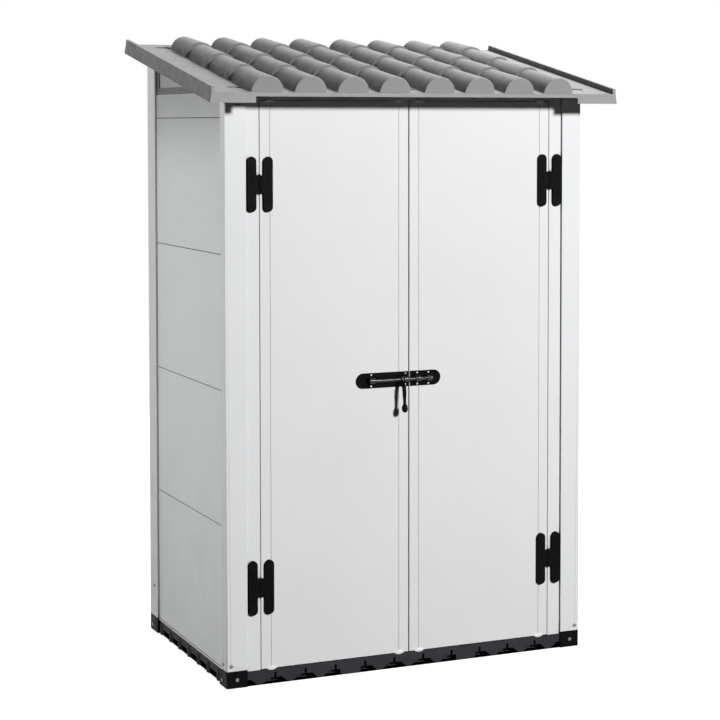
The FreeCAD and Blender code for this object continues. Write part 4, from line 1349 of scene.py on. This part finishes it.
@dataclass
class Studio:
    """Pale floor, white surroundings, lamps and the camera."""

    floor_reach: float = 30.0
    floor_colour: Colour = (0.35, 0.35, 0.35)
    bounce_colour: Colour = (0.015, 0.015, 0.015)
    glow_reach: Pair = (1.2, 2.6)
    glow_levels: Pair = (0.93, 1.0)
    shade_reach: float = 0.3
    shade_levels: Pair = (0.22, 0.45)
    deck_half_width: float = 0.578
    deck_front: float = -0.3255
    deck_rear: float = 0.413
    deck_fade: float = 0.003
    surround_level: float = 0.004
    lamps: tuple[SoftLamp, ...] = (
        SoftLamp(
            "key_lamp",
            place=(2.6, -7.3, 4.1),
            aim=(0.0, -0.33, 1.1),
            size=(1.0, 1.0),
            power=700.0,
            in_gloss=True,
        ),
        SoftLamp(
            "side_lamp",
            place=(-3.2, -0.1, 1.45),
            aim=(-0.58, 0.1, 1.0),
            size=(0.5, 1.2),
            power=48.5,
        ),
        SoftLamp(
            "rear_lamp",
            place=(0.8, 4.6, 1.9),
            aim=(0.0, 0.42, 1.0),
            size=(1.6, 1.4),
            power=120.0,
        ),
        SoftLamp(
            "overhead_lamp",
            place=(1.5, 0.7, 3.7),
            aim=(0.0, 0.1, 1.8),
            size=(1.6, 1.4),
            power=105.0,
        ),
    )
    camera_place: Place = (-2.3986, -5.4900, 1.6435)
    camera_yaw: float = 0.4089
    camera_pitch: float = 0.0484
    camera_roll: float = -0.0011
    lens: float = 95.232
    sensor_width: float = 36.0
    shift_y: float = -0.2014
    far_limit: float = 200.0

    def build(self) -> None:
        """Sets up floor, surroundings, lamps and camera."""
        self._floor()
        self._surround()
        for lamp in self.lamps:
            lamp.hang()
        self._camera()
        scene = bpy.context.scene
        scene.view_settings.view_transform = "Standard"
        log.info("studio ready")

    def _white_rays(self, tree: bpy.types.NodeTree) -> Socket:
        """Tells the rays that see white from the rays that carry light.

        Args:
            tree: the node tree that the switch is added to.

        Returns:
            1 for rays from the camera, from gloss and through glass, 0 for the rest.
        """
        path = tree.nodes.new("ShaderNodeLightPath")
        total = path.outputs["Is Camera Ray"]
        for name in ("Is Glossy Ray", "Is Transmission Ray"):
            node = tree.nodes.new("ShaderNodeMath")
            node.operation = "MAXIMUM"
            tree.links.new(total, node.inputs[0])
            tree.links.new(path.outputs[name], node.inputs[1])
            total = node.outputs["Value"]
        return total

    def _floor(self) -> None:
        """Lays a pale floor that keeps a faint shadow."""
        mesh = bmesh.new()
        reach = self.floor_reach
        corners = [(-reach, -reach), (reach, -reach), (reach, reach), (-reach, reach)]
        mesh.faces.new([mesh.verts.new((x, y, 0.0)) for x, y in corners])
        floor = add_mesh("studio_floor", mesh)
        floor.data.materials.append(self._floor_finish())

    def _floor_finish(self) -> bpy.types.Material:
        """Makes the floor's finish: white to look at, with painted shade under and near the deck, dim
        as a light.

        Returns:
            The material.
        """
        sheet = NodeSheet("studio_floor")
        sheet.tree.nodes.remove(sheet.shader)
        distance = sheet.add("ShaderNodeVectorMath", operation="LENGTH")
        sheet.feed(distance.inputs[0], sheet.place)
        glow_level = sheet.between(distance.outputs["Value"], *self.glow_reach, *self.glow_levels)
        # Painted shade: the floor's glow fades near the deck.
        shade = sheet.add("ShaderNodeAmbientOcclusion", samples=8, only_local=False)
        shade.inputs["Distance"].default_value = self.shade_reach
        open_share = sheet.between(shade.outputs["AO"], *self.shade_levels)
        beside_deck = self._beside_deck(sheet)
        glow = sheet.add("ShaderNodeEmission")
        strength = sheet.product(glow_level, sheet.product(open_share, beside_deck))
        sheet.feed(glow.inputs["Strength"], strength)
        lit = sheet.add("ShaderNodeBsdfDiffuse")
        # Painted shade: the floor is black under the deck.
        sheet.feed(lit.inputs["Color"], sheet.mix(beside_deck, BLACK, self.floor_colour))
        seen = sheet.add("ShaderNodeAddShader")
        sheet.feed(seen.inputs[0], lit.outputs[0])
        sheet.feed(seen.inputs[1], glow.outputs[0])
        unseen = sheet.add("ShaderNodeBsdfDiffuse")
        sheet.feed(unseen.inputs["Color"], self.bounce_colour)
        choice = sheet.add("ShaderNodeMixShader")
        sheet.feed(choice.inputs[0], self._white_rays(sheet.tree))
        sheet.feed(choice.inputs[1], unseen.outputs[0])
        sheet.feed(choice.inputs[2], seen.outputs[0])
        sheet.feed(sheet.tree.nodes["Material Output"].inputs["Surface"], choice.outputs[0])
        return sheet.material

    def _beside_deck(self, sheet: NodeSheet) -> Socket:
        """Finds the floor outside the deck's plan.

        Args:
            sheet: the floor's node sheet.

        Returns:
            0 under the deck, 1 beside it.
        """
        fade = self.deck_fade
        across = sheet.maths("ABSOLUTE", sheet.axis("X"))
        past_side = sheet.between(across, self.deck_half_width - fade, self.deck_half_width)
        along = sheet.axis("Y")
        past_front = sheet.between(along, self.deck_front, self.deck_front + fade, 1.0, 0.0)
        past_rear = sheet.between(along, self.deck_rear - fade, self.deck_rear)
        return sheet.maths("MAXIMUM", past_side, sheet.maths("MAXIMUM", past_front, past_rear))

    def _surround(self) -> None:
        """Makes the surroundings white to look at and dim as a light."""
        world = bpy.data.worlds.new("studio_surround")
        bpy.context.scene.world = world
        world.use_nodes = True
        tree = world.node_tree
        background = tree.nodes["Background"]
        background.inputs["Color"].default_value = (1.0, 1.0, 1.0, 1.0)
        level = tree.nodes.new("ShaderNodeMapRange")
        level.inputs["To Min"].default_value = self.surround_level
        level.inputs["To Max"].default_value = 1.0
        tree.links.new(self._white_rays(tree), level.inputs["Value"])
        tree.links.new(level.outputs["Result"], background.inputs["Strength"])

    def _camera(self) -> None:
        """Stands the camera where the photograph was taken from."""
        yaw, pitch, roll = self.camera_yaw, self.camera_pitch, self.camera_roll
        level = Vector((math.sin(yaw), math.cos(yaw), 0.0))
        right = Vector((math.cos(yaw), -math.sin(yaw), 0.0))
        up = Vector((0.0, 0.0, 1.0))
        ahead = level * math.cos(pitch) - up * math.sin(pitch)
        raised = up * math.cos(pitch) + level * math.sin(pitch)
        across = right * math.cos(roll) + raised * math.sin(roll)
        upright = raised * math.cos(roll) - right * math.sin(roll)
        data = bpy.data.cameras.new("photo_camera")
        data.lens = self.lens
        data.sensor_width = self.sensor_width
        data.shift_y = self.shift_y
        data.clip_end = self.far_limit
        camera = add_to_scene("photo_camera", data)
        turn = Matrix((across, upright, -ahead)).transposed().to_4x4()
        camera.matrix_world = Matrix.Translation(self.camera_place) @ turn
        bpy.context.scene.camera = camera


def main() -> None:
    """Builds every sub-assembly in order, from the ground up."""
    logging.basicConfig(level=logging.INFO, format="%(message)s")
    FloorDeck().build()
    Shell().build()
    TiledRoof().build()
    StrapHinges().build()
    for side in Side:
        DoorLeaf(side).build()
    SlidingBolt().build()
    Studio().build()


if __name__ == "__main__":
    main()
